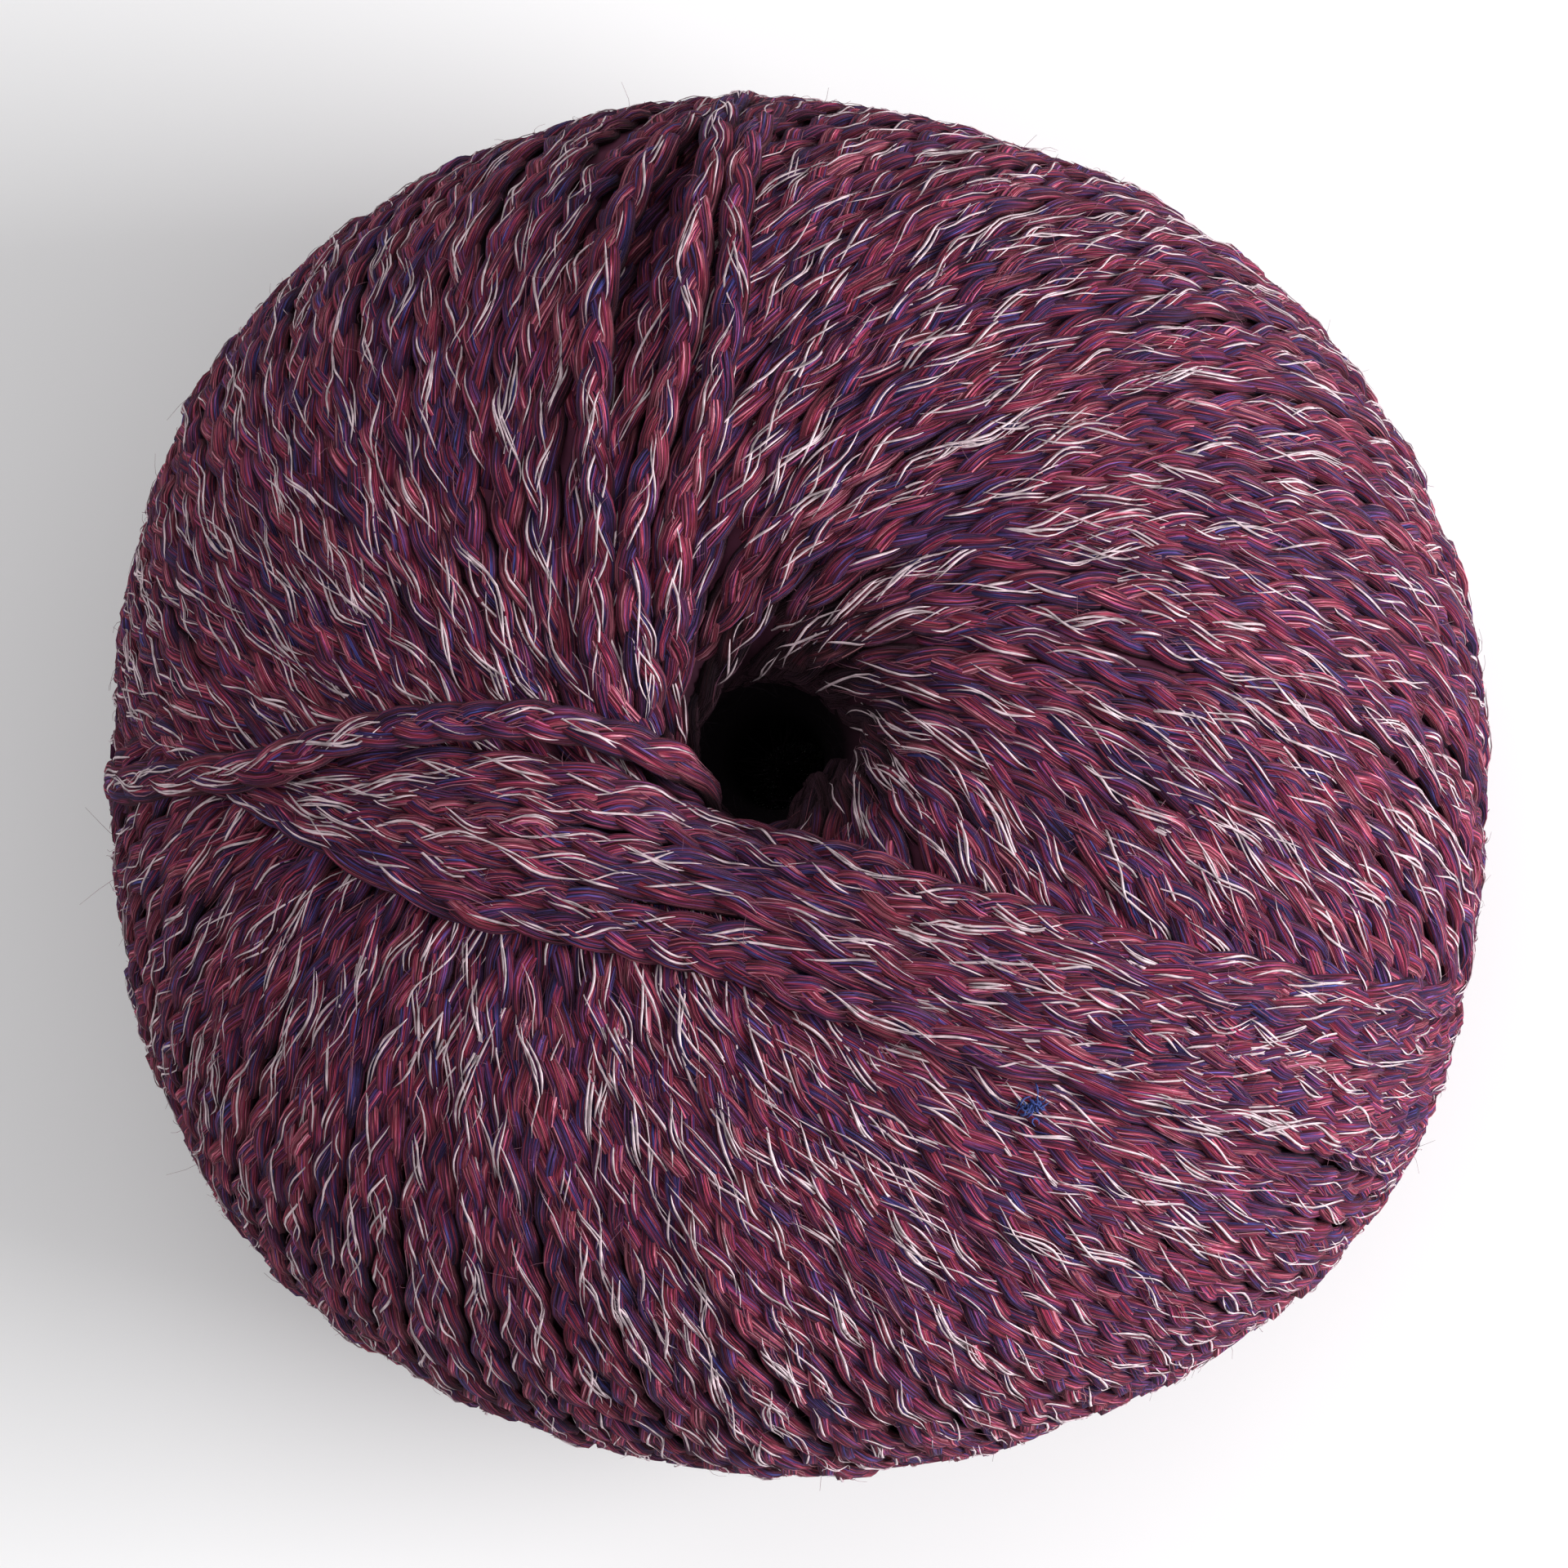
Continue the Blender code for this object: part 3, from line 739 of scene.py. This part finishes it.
def fibre_colours():
    """Single fibres, each its own colour: a noise read at the fibre's own place on the map picks it."""
    material, tree, shader = new_material("fibre_colours")
    place = node(tree, "ShaderNodeUVMap", (-1100, 0))
    place.uv_map = "along_yarn"
    mapping = node(tree, "ShaderNodeMapping", (-900, 0), Scale=(9.0, 0.0, 1.0))
    texture = node(tree, "ShaderNodeTexNoise", (-700, 0), Scale=1.0, Detail=2.0)
    texture.noise_dimensions = "2D"
    tree.links.new(place.outputs["UV"], mapping.inputs["Vector"])
    tree.links.new(mapping.outputs["Vector"], texture.inputs["Vector"])
    hue = ramp(tree, (-450, 0), FIBRE_HUES)
    tree.links.new(texture.outputs["Fac"], hue.inputs["Fac"])
    tree.links.new(hue.outputs["Color"], shader.inputs["Base Color"])
    set_inputs(shader, Roughness=0.7, Specular_IOR_Level=0.3)
    set_inputs(shader, Sheen_Weight=0.15, Sheen_Tint=(0.8, 0.6, 0.7, 1.0))
    return material


def deep_material_with_hole_shade():
    """The inside of the ball: dull plum between the strands, with painted shade that falls to near black down
    the centre hole.
    """
    material, tree, shader = new_material("deep_yarn")
    place = node(tree, "ShaderNodeTexCoord", (-1100, 0))
    away = node(tree, "ShaderNodeVectorMath", (-900, 0))
    away.operation = "DISTANCE"
    away.inputs[1].default_value = (0.001 * HOLE_AT[0], 0.001 * HOLE_AT[1], 0.0)
    flat = node(tree, "ShaderNodeVectorMath", (-1000, 0))
    flat.operation = "MULTIPLY"
    flat.inputs[1].default_value = (1.0, 1.0, 0.0)
    tree.links.new(place.outputs["Object"], flat.inputs[0])
    tree.links.new(flat.outputs["Vector"], away.inputs[0])
    share = node(tree, "ShaderNodeMath", (-700, 0))
    share.operation = "MULTIPLY"
    share.inputs[1].default_value = 50.0
    tree.links.new(away.outputs["Value"], share.inputs[0])
    # Painted shade: near black close to the hole's axis, rising to dull plum about 11 mm out from it.
    tones = ramp(tree, (-450, 0), [(0.24, (0.006, 0.003, 0.005)), (0.55, (0.075, 0.020, 0.040))])
    tree.links.new(share.outputs["Value"], tones.inputs["Fac"])
    tree.links.new(tones.outputs["Color"], shader.inputs["Base Color"])
    set_inputs(shader, Roughness=0.95, Specular_IOR_Level=0.1)
    return material


def plain_material(name, colour, roughness, sheen=0.0, tint=(1.0, 1.0, 1.0, 1.0), spread=0.0, size=600.0):
    """A fibre finish whose tone varies a little from place to place."""
    material, tree, shader = new_material(name)
    place = node(tree, "ShaderNodeTexCoord", (-900, 0))
    noise = node(tree, "ShaderNodeTexNoise", (-700, 0), Scale=size, Detail=2.0)
    tree.links.new(place.outputs["Object"], noise.inputs["Vector"])
    low = tuple(c * (1 - spread) for c in colour)
    high = tuple(min(c * (1 + spread), 1.0) for c in colour)
    tones = ramp(tree, (-450, 0), [(0.32, low), (0.68, high)])
    tree.links.new(noise.outputs["Fac"], tones.inputs["Fac"])
    tree.links.new(tones.outputs["Color"], shader.inputs["Base Color"])
    set_inputs(shader, Roughness=roughness, Sheen_Weight=sheen, Sheen_Tint=tint)
    return material


def wound_turns(yarn):
    """The turns of the wound body, which lean one way all round.

    Every second strand sinks as they crowd to the hole, then every second of those left, and so on, until one
    in eight goes over the lip.
    """
    dense = np.linspace(-0.27, 1.97, 900)
    routes = body_azimuths(TURNS_ROUND)
    for k in range(TURNS_ROUND):
        level = next((n for n in range(3) if (k >> n) & 1), 3)
        ends = [(0.37, 1.55), (0.195, 1.74), (0.095, 1.86), (-0.30, 1.97)][level]
        top_end = ends[0] * RANDOM.uniform(0.88, 1.12)
        low_end = 2 - (2 - ends[1]) * RANDOM.uniform(0.9, 1.1)
        length = distance_at(dense)
        sway = wander(length, [(55.0, 0.30), (23.0, 0.16), (11.0, 0.07)])
        radius = np.interp(length, DISTANCE, RADIUS)
        azimuth = np.interp(dense, TURN_GRID, routes[k]) + np.degrees(sway / np.maximum(radius, 8.0))
        lift = wander(length, [(60.0, 0.16), (19.0, 0.13)])
        rise = -0.05 + lift - sunken(dense, azimuth)
        rise = rise - 1.9 * (1 - smooth_step(dense, top_end - 0.03, top_end + 0.09))
        rise = rise - 1.9 * smooth_step(dense, low_end - 0.09, low_end + 0.02)
        if level == 3:
            rise = -0.05 + lift - 0.75 * (1 - smooth_step(dense, -0.02, 0.10))
            for spot, swell, wide, deep in LIP_SPOTS:
                aside = (azimuth - spot + 180) % 360 - 180
                rise = rise + swell * np.exp(-((aside / wide) ** 2) - (dense / deep) ** 2)
        inside = over_last_layer(dense, azimuth)
        crossed = under_band(dense, azimuth)
        rise = rise - 2.2 * smooth_step(inside, -2.5, 3.0) - 1.6 * smooth_step(crossed, -3.0, 2.0)
        keep = (inside < 3.2) & (crossed < 3.6) & (dense > top_end - 0.03) & (dense < low_end + 0.02)
        yarn.strand(dense, azimuth, rise, keep, width=1.07)


def last_layer(yarn):
    """The turns laid last, which come out from under the band and lean the other way.

    They lie closer together towards the right, where they fan out from the band.
    """
    pitch = 360.0 / TURNS_ROUND
    share_at, share = np.array(LAST_LAYER_SHARE).T
    dense = np.linspace(0.12, 1.72, 700)
    start, n = LAST_LAYER_FROM - 2.0, 0
    while start < LAST_LAYER_TO + 5.0:
        length = distance_at(dense)
        sway = wander(length, [(50.0, 0.28), (21.0, 0.15), (10.0, 0.06)])
        radius = np.interp(length, DISTANCE, RADIUS)
        azimuth = start - turn(dense) * np.interp(start, share_at, share) + np.degrees(sway / radius)
        rise = 0.30 + wander(length, [(55.0, 0.15), (18.0, 0.12)])
        covered = dense - table_arc(BAND_OUTER, azimuth)
        rise = rise - 0.5 * (1 - smooth_step(covered, -0.06, 0.06))
        top_end = -0.05 if start < 295 else -0.13
        if n % 2 and start < 290:
            top_end = 0.055 * RANDOM.uniform(0.5, 1.3)
            rise = rise - 1.9 * (1 - smooth_step(covered, top_end - 0.02, top_end + 0.07))
        rise = rise - 2.4 * smooth_step(dense, 1.50, 1.68)
        keep = (covered > top_end - 0.03) & (dense < 1.67) & ((azimuth > 177.5) | (dense > 1.05))
        yarn.strand(dense, azimuth, rise, keep, width=1.07)
        start += pitch * (1.0 - 0.22 * float(smooth_step(start, 262.0, 300.0)))
        n += 1


def crossing_band(yarn):
    """The strands of the band, spread between its two edge routes, each with its own small sway.

    More strands lie between them at both ends, where the band is wide, and sink where it narrows.
    """
    inner, outer = through(BAND_INNER, 900), through(BAND_OUTER, 900)
    length = np.linspace(0, 150, len(inner))

    def lay(share, lift, keep=None):
        """One strand along (1 - share) inner + share outer, lifted."""
        route = (1 - share) * inner + share * outer
        azimuth = route[:, 0] + wander(length, [(40.0, 0.5)])
        arc = route[:, 1] + wander(length, [(35.0, 0.004), (15.0, 0.002)])
        rise = route[:, 2] + wander(length, [(45.0, 0.10), (16.0, 0.08)]) + lift
        yarn.strand(arc, azimuth, rise, keep, width=1.04, sides=6)

    for n in range(BAND_STRANDS):
        lay(n / (BAND_STRANDS - 1), 0.22 * (n % 2) - 0.1)
    middle = np.interp(length, [0, 150], [0, 1])
    for n in range(BAND_STRANDS - 1):
        start_out = 0.30 + 0.04 * (n % 3)
        sunk = -0.25 - 1.5 * smooth_step(middle, start_out - 0.04, start_out + 0.04)
        lay((n + 0.5) / (BAND_STRANDS - 1), sunk, middle < start_out + 0.03)
        end_in = 0.62 + 0.03 * (n % 3)
        risen = -1.75 + 1.5 * smooth_step(middle, end_in - 0.05, end_in + 0.05)
        lay((n + 0.5) / (BAND_STRANDS - 1), risen, middle > end_in - 0.04)


def tucked_end(yarn):
    """The end of the yarn, over the start of the band and down into the hole."""
    route = through(YARN_END, 900)
    yarn.strand(route[:, 1], route[:, 0], route[:, 2], width=1.1, sides=8)


def proud_strands(yarn):
    """Strands laid over the far side's turns, each on its own route."""
    for rows in PROUD:
        route = through(rows, 900)
        yarn.strand(route[:, 1], route[:, 0], route[:, 2], route[:, 2] > -1.3, width=1.0, sides=6)


def core(material):
    """The dark inside that shows between strands: the body's surface, a little lower, with a fine ripple."""
    across, rows = 144, 44
    wall = np.linspace(HEIGHT[1], HEIGHT[-1], 13)[1:-1]
    arc = np.linspace(0.0, 2.0, rows)
    azimuth = np.linspace(0, 2 * math.pi, across, endpoint=False)
    grid_arc, grid_azimuth = np.meshgrid(arc, azimuth, indexing="ij")
    lip = smooth_step(np.minimum(grid_arc, 2 - grid_arc), 0.0, 0.12)
    ripple = 0.12 * np.sin(48 * grid_azimuth + 30 * grid_arc)
    degrees = np.degrees(grid_azimuth)
    rise = (-0.50 + 0.22 * smooth_step(grid_arc, 0.45, 0.8)) * lip + ripple * lip
    rise = rise - sunken(grid_arc, degrees) - 0.45 * smooth_step(over_last_layer(grid_arc, degrees), 0, 4)
    points, _ = on_body(grid_arc, grid_azimuth, rise)
    waist = HOLE_RADIUS - 2.0 * np.sin(np.linspace(0, math.pi, len(wall) + 2))[1:-1, None] ** 0.3
    tube = np.stack(
        [
            HOLE_AT[0] + waist * np.cos(azimuth),
            HOLE_AT[1] + waist * np.sin(azimuth),
            np.broadcast_to(wall[::-1, None], (len(wall), across)),
        ],
        -1,
    )
    points = np.concatenate([points, tube], axis=0)
    count = len(points)
    points[..., 2] = np.maximum(points[..., 2], 0.3)
    row = np.arange(count)[:, None]
    column = np.arange(across)[None, :]
    below, after = (row + 1) % count, (column + 1) % across
    here, under = row * across, below * across
    quads = np.stack([here + column, under + column, under + after, here + after], -1).reshape(-1, 4)
    quad_map = np.stack([quads % across, quads // across], -1).reshape(-1, 2) * 0.1
    no_caps, no_cap_map = np.zeros((0, 3), int), np.zeros((0, 2))
    level = np.zeros(count * across)
    grid = (points.reshape(-1, 3), quads, no_caps, quad_map, no_cap_map, level)
    return piece("wound_core", [grid], material)


def placed(yarn, count, low_share):
    """Random places along the strands, more where they show: each stretch that has some, and how far along."""
    totals, tables = [], []
    for stretch in yarn.stretches:
        chance = stretch.shown * (low_share + (1 - low_share) * (1 - smooth_step(stretch.arc_at, 0.78, 1.10)))
        table = np.concatenate([[0.0], np.cumsum(np.diff(stretch.at) * (chance[1:] + chance[:-1]) / 2)])
        tables.append(table)
        totals.append(table[-1])
    totals = np.array(totals)
    chosen = np.sort(RANDOM.choice(len(totals), count, p=totals / totals.sum()))
    for index in np.unique(chosen):
        stretch = yarn.stretches[index]
        wanted = int(np.sum(chosen == index))
        yield stretch, np.interp(RANDOM.random(wanted) * totals[index], tables[index], stretch.at)


def riding_fibres(name, yarn, count, material, span, thick, lean, swing, lift, twins, low_share, rings):
    """Fine fibres that lie on a strand and swing from side to side with one of its plies, some side by side.

    Most are moved along to where their ply is uppermost. At each point the fibre's height is that of the
    highest ply there: depth + d sqrt(1 - (offset / w)^2).
    """
    tubes = []
    for stretch, spot in placed(yarn, count, low_share):
        at = stretch.at
        wanted = len(spot)
        reach = at[-1] - at[0]
        length = np.minimum(RANDOM.gamma(6.0, span / 6.0, wanted) + 0.25 * span, reach * 0.9)
        begin = np.clip(spot - length / 2, at[0], at[-1] - length)
        ply = RANDOM.integers(0, 3, wanted)
        tilt = RANDOM.normal(0, lean, wanted)
        wave = RANDOM.uniform(3.0, 6.5, wanted)
        shift = RANDOM.random(wanted)
        swings = RANDOM.uniform(0.2, 1.0, wanted) * swing
        again = np.flatnonzero(RANDOM.random(wanted) < twins)
        copies = np.concatenate([np.arange(wanted), again])
        moved = np.concatenate([np.zeros(wanted), RANDOM.normal(0, 0.6, len(again))])
        apart = RANDOM.choice([-1, 1], len(again)) * RANDOM.uniform(0.26, 0.48, len(again))
        length, begin, ply, wave = length[copies], begin[copies] + moved, ply[copies], wave[copies]
        tilt = tilt[copies] + np.concatenate([np.zeros(wanted), apart])
        shift, swings = shift[copies], swings[copies]
        middle = begin + length / 2
        turned = np.array([np.interp(place, at, stretch.phase[k]) for place, k in zip(middle, ply)])
        behind = np.mod(math.pi * 3 / 4 + RANDOM.normal(0, 0.5, len(turned)) - turned, math.pi) - math.pi / 2
        onto_leg = RANDOM.random(len(turned)) < LEG_SHARE
        begin = begin + np.where(onto_leg, behind, 0.0) * PLAIT_LENGTH / (2 * math.pi)
        begin = np.clip(begin, at[0], at[-1] - length)
        total = len(copies)
        where = begin[:, None] + length[:, None] * np.linspace(0, 1, rings)[None, :]
        low = np.clip(np.searchsorted(at, where) - 1, 0, len(at) - 2)
        mix = (where - at[low]) / (at[low + 1] - at[low])

        def read(values):
            """A stretch's values at each place: a straight mix of its two nearest rings."""
            share = mix[..., None] if values.ndim == 2 else mix
            return values[low] * (1 - share) + values[low + 1] * share

        plies = (stretch.sideways, stretch.half_width, stretch.half_depth, stretch.depth)
        swung, wide, tall, deep = (np.stack([read(row) for row in rows]) for rows in plies)
        normal = read(stretch.normal)
        own = swung[ply, np.arange(total)]
        sway = np.sin(2 * math.pi * (where / wave[:, None] + shift[:, None]))
        offset = 1.05 * own + tilt[:, None] + swings[:, None] * sway
        offset = np.clip(offset, -1.22, 1.22)
        over_ply = np.clip(1 - ((offset - swung) / wide) ** 2, 0, 1)
        height = np.max(deep + tall * np.sqrt(over_ply) - 0.5 * (over_ply == 0), axis=0)
        off = lift[0] + lift[1] * np.sin(np.linspace(0, math.pi, rings))[None, :] * RANDOM.random((total, 1))
        path = read(stretch.centre) + read(stretch.side) * offset[..., None]
        path = path + normal * (height + off)[..., None]
        path[:, 1:-1] = 0.5 * path[:, 1:-1] + 0.25 * (path[:, :-2] + path[:, 2:])
        along = unit(np.gradient(path, axis=1))
        across = unit(np.cross(normal, along))
        upward = np.cross(along, across)
        taper = np.sin(np.linspace(0.05, math.pi - 0.05, rings)) ** 0.6
        girth = RANDOM.uniform(thick[0], thick[1], (total, 1)) * taper[None, :]
        steps = np.linspace(0, 1, rings) * float(np.mean(length))
        tubes.append(tube_grid(path, across, upward, girth, girth * 0.8, steps, 3))
    return piece(name, tubes, material)


def fine_tubes(path, beside, thin):
    """Three-sided tubes along the paths of a batch, turned by any direction that isn't along them."""
    along = unit(np.gradient(path, axis=1))
    across = np.cross(along, beside)
    across /= np.maximum(np.linalg.norm(across, axis=2, keepdims=True), 1e-6)
    return tube_grid(path, across, np.cross(across, along), thin, thin, np.linspace(0, 2, path.shape[1]), 3)


def hairs(yarn, count, material):
    """Loose fibre ends: short tapering hairs that leave a ply, rise and curl over.

    Path: foot + reach (away (0.60 t - 0.42 t^2) + 0.55 slide t^1.3 + curl t^2), for t from 0 to 1.
    """
    rings = 4
    tubes = []
    for stretch, where in placed(yarn, count, 0.55):
        wanted = len(where)
        ply = RANDOM.integers(0, 3, wanted)
        spot = np.clip(np.searchsorted(stretch.at, where), 0, len(stretch.at) - 1)
        side, top = stretch.out[ply, spot], stretch.up[ply, spot]
        along = np.cross(side, top)
        angle = RANDOM.uniform(0.15, math.pi - 0.15, wanted)[:, None]
        foot = stretch.paths[ply, spot] + side * stretch.half_width[ply, spot][:, None] * np.cos(angle) * 0.9
        foot = foot + top * stretch.half_depth[ply, spot][:, None] * np.sin(angle) * 0.9
        away = side * np.cos(angle) + top * np.sin(angle)
        slide = along * RANDOM.normal(0, 1.3, (wanted, 1)) + side * RANDOM.normal(0, 0.6, (wanted, 1))
        reach = RANDOM.gamma(3.0, 0.24, wanted)[:, None, None] + 0.5
        t = np.linspace(0, 1, rings)[None, :, None]
        curl = np.cross(away, slide)
        path = foot[:, None] + reach * (
            away[:, None] * (0.60 * t - 0.42 * t**2)
            + slide[:, None] * 0.55 * t**1.3
            + curl[:, None] * RANDOM.normal(0, 0.35, (wanted, 1, 1)) * t**2
        )
        thin = (0.019 - 0.009 * np.linspace(0, 1, rings))[None, :] * RANDOM.uniform(0.8, 1.3, (wanted, 1))
        tubes.append(fine_tubes(path, away[:, None], thin))
    return piece("loose_fibres", tubes, material)


def blue_tuft(material):
    """A tuft of blue fibres caught on a strand of the last layer: short curls round one small spot."""
    rings, count = 6, 34
    azimuth, arc, rise = TUFT
    spot, normal = on_body(arc, math.radians(azimuth), rise)
    heading = RANDOM.uniform(0, 2 * math.pi, (count, 1))
    bend = RANDOM.normal(0, 1.6, (count, 1))
    t = np.linspace(-0.5, 0.5, rings)[None, :]
    length = RANDOM.uniform(0.5, 1.5, (count, 1))
    path = spot + RANDOM.normal(0, 0.34, (count, 1, 3)) * (1.4, 1.0, 0.3) + np.stack(
        [
            length * t * np.cos(heading + bend * t),
            length * t * np.sin(heading + bend * t),
            0.25 - 0.9 * t**2 * length,
        ],
        -1,
    )
    thin = 0.075 * np.sin(np.linspace(0.2, math.pi - 0.2, rings))[None, :] * np.ones((count, 1))
    return piece("blue_tuft", [fine_tubes(path, normal, thin)], material)


def hole_fuzz(name, count, material, heights, reaches, start, thickness=1.0):
    """Fine hairs that stand in from the wall of the centre hole between two heights, and curl over."""
    rings = 4
    azimuth = RANDOM.uniform(0, 2 * math.pi, (count, 1))
    height = RANDOM.uniform(*heights, (count, 1))
    t = np.linspace(0, 1, rings)[None, :]
    reach = RANDOM.uniform(*reaches, (count, 1)) * t
    turned = azimuth + RANDOM.normal(0, 0.5, (count, 1)) * t
    radius = start - reach
    path = np.stack(
        [
            HOLE_AT[0] + radius * np.cos(turned),
            HOLE_AT[1] + radius * np.sin(turned),
            height + RANDOM.normal(0, 1.5, (count, 1)) * t - 0.8 * t**2,
        ],
        -1,
    )
    thin = (0.034 - 0.016 * t) * RANDOM.uniform(0.7, 1.4, (count, 1)) * thickness
    return piece(name, [fine_tubes(path, np.array([0.0, 0.0, 1.0]), thin)], material)


def build():
    """All of the yarn: the strands, the deep layer under them, then the fibres and hairs on them."""
    plum = plum_yarn()
    dark = deep_material_with_hole_shade()
    white = plain_material("white_filament", (0.45, 0.345, 0.38), 0.5, 0.05, spread=0.45, size=900.0)
    tinted = fibre_colours()
    fuzz = plain_material("fibre_fuzz", (0.17, 0.055, 0.09), 0.8, 0.2, (1.0, 0.7, 0.8, 1.0), 0.5, 700.0)

    turns, laid_last, band = Yarn(), Yarn(), Yarn()
    wound_turns(turns)
    last_layer(laid_last)
    crossing_band(band)
    tucked_end(band)
    proud_strands(band)

    quarter = len(turns.tubes) // 4
    shares = [turns.tubes[n * quarter : (n + 1) * quarter] for n in range(3)] + [turns.tubes[3 * quarter :]]
    pieces = [piece(f"wound_turns_{n + 1}", share, plum) for n, share in enumerate(shares)]
    pieces.append(piece("last_layer", laid_last.tubes, plum))
    pieces.append(piece("crossing_band", band.tubes, plum))
    pieces.append(core(dark))
    every = Yarn()
    every.stretches = turns.stretches + laid_last.stretches + band.stretches
    white_kind = dict(span=3.4, thick=(0.050, 0.112), lean=0.17, swing=0.24, lift=(0.02, 0.10), twins=0.15)
    white_kind |= dict(low_share=0.3, rings=8)
    fine_kind = dict(span=3.6, thick=(0.026, 0.046), lean=0.40, swing=0.24, lift=(0.01, 0.12), twins=0.0)
    fine_kind |= dict(low_share=0.1, rings=5)
    for n in range(2):
        pieces.append(riding_fibres(f"white_filaments_{n + 1}", every, WHITE_FILAMENTS, white, **white_kind))
    pieces.append(riding_fibres("surface_fibres", every, SURFACE_FIBRES, tinted, **fine_kind))
    pieces.append(hairs(every, LOOSE_FIBRES, fuzz))
    # The hole's hairs use the deep material, so they carry its near-black painted shade.
    pieces.append(hole_fuzz("hole_fuzz", HOLE_HAIRS, dark, (3.0, 40.0), (2.0, 4.5), HOLE_RADIUS - 1.9))
    pieces.append(hole_fuzz("lip_fuzz", LIP_HAIRS, dark, (44.0, 50.0), (0.5, 1.8), HOLE_RADIUS + 0.3, 0.5))
    blue = plain_material("blue_fibres", (0.012, 0.030, 0.150), 0.8, spread=0.4)
    pieces.append(blue_tuft(blue))
    for made in pieces:
        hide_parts("yarn_ball")


def set_stage():
    """A pale floor that runs on past the view, a soft low light from the right, a weak one and a pale sky."""
    mesh = bpy.data.meshes.new("floor")
    size = 3.0
    corners = [(-size, -size, 0), (size, -size, 0), (size, size, 0), (-size, size, 0)]
    mesh.from_pydata(corners, [], [(0, 1, 2, 3)])
    floor = new_object("floor", mesh)
    pale, _, shader = new_material("pale_floor")
    set_inputs(shader, Base_Color=(0.80, 0.795, 0.805, 1.0), Roughness=0.9)
    mesh.materials.append(pale)

    lights = [
        # name, place, aim, size, watts
        ("window_light", (0.70, -0.08, 0.30), (0.0, 0.0, 0.02), 0.42, 10.6),
        ("fill_light", (-0.30, 0.45, 0.60), (0.0, 0.0, 0.02), 0.60, 1.0),
    ]
    for name, place, aim, size, watts in lights:
        lamp = bpy.data.lights.new(name, "AREA")
        lamp.energy = watts
        lamp.size = size
        thing = new_object(name, lamp)
        way = Vector(aim) - Vector(place)
        thing.matrix_world = Matrix.Translation(place) @ way.to_track_quat("-Z", "Y").to_matrix().to_4x4()

    world = bpy.data.worlds.new("pale_sky")
    bpy.context.scene.world = world
    world.use_nodes = True
    set_inputs(world.node_tree.nodes["Background"], Color=(1.0, 1.0, 1.0, 1.0), Strength=0.70)
    bpy.context.scene.view_settings.view_transform = "Standard"


def set_camera():
    """The photograph's camera: nearly overhead, a little to the lower right, with the photo's top along +Y."""
    azimuth, elevation = math.radians(VIEW_AZIMUTH), math.radians(VIEW_ELEVATION)
    level = math.cos(elevation)
    back = Vector((math.sin(azimuth) * level, -math.cos(azimuth) * level, math.sin(elevation)))
    right = Vector((0, 1, 0)).cross(back).normalized()
    up = back.cross(right)
    target = Vector((VIEW_SHIFT[0] + BALL_CENTRE[0], VIEW_SHIFT[1] + BALL_CENTRE[1], WIDEST_HEIGHT)) * 0.001
    lens = bpy.data.cameras.new("camera")
    lens.sensor_width = 36.0
    lens.lens = 36.0 * VIEW_DISTANCE / VIEW_WIDTH
    lens.clip_start = 0.05
    lens.clip_end = 20.0
    camera = new_object("camera", lens)
    turned = Matrix((right, up, back)).transposed().to_4x4()
    camera.matrix_world = Matrix.Translation(target + back * VIEW_DISTANCE * 0.001) @ turned
    bpy.context.scene.camera = camera


set_camera()
set_stage()
build()
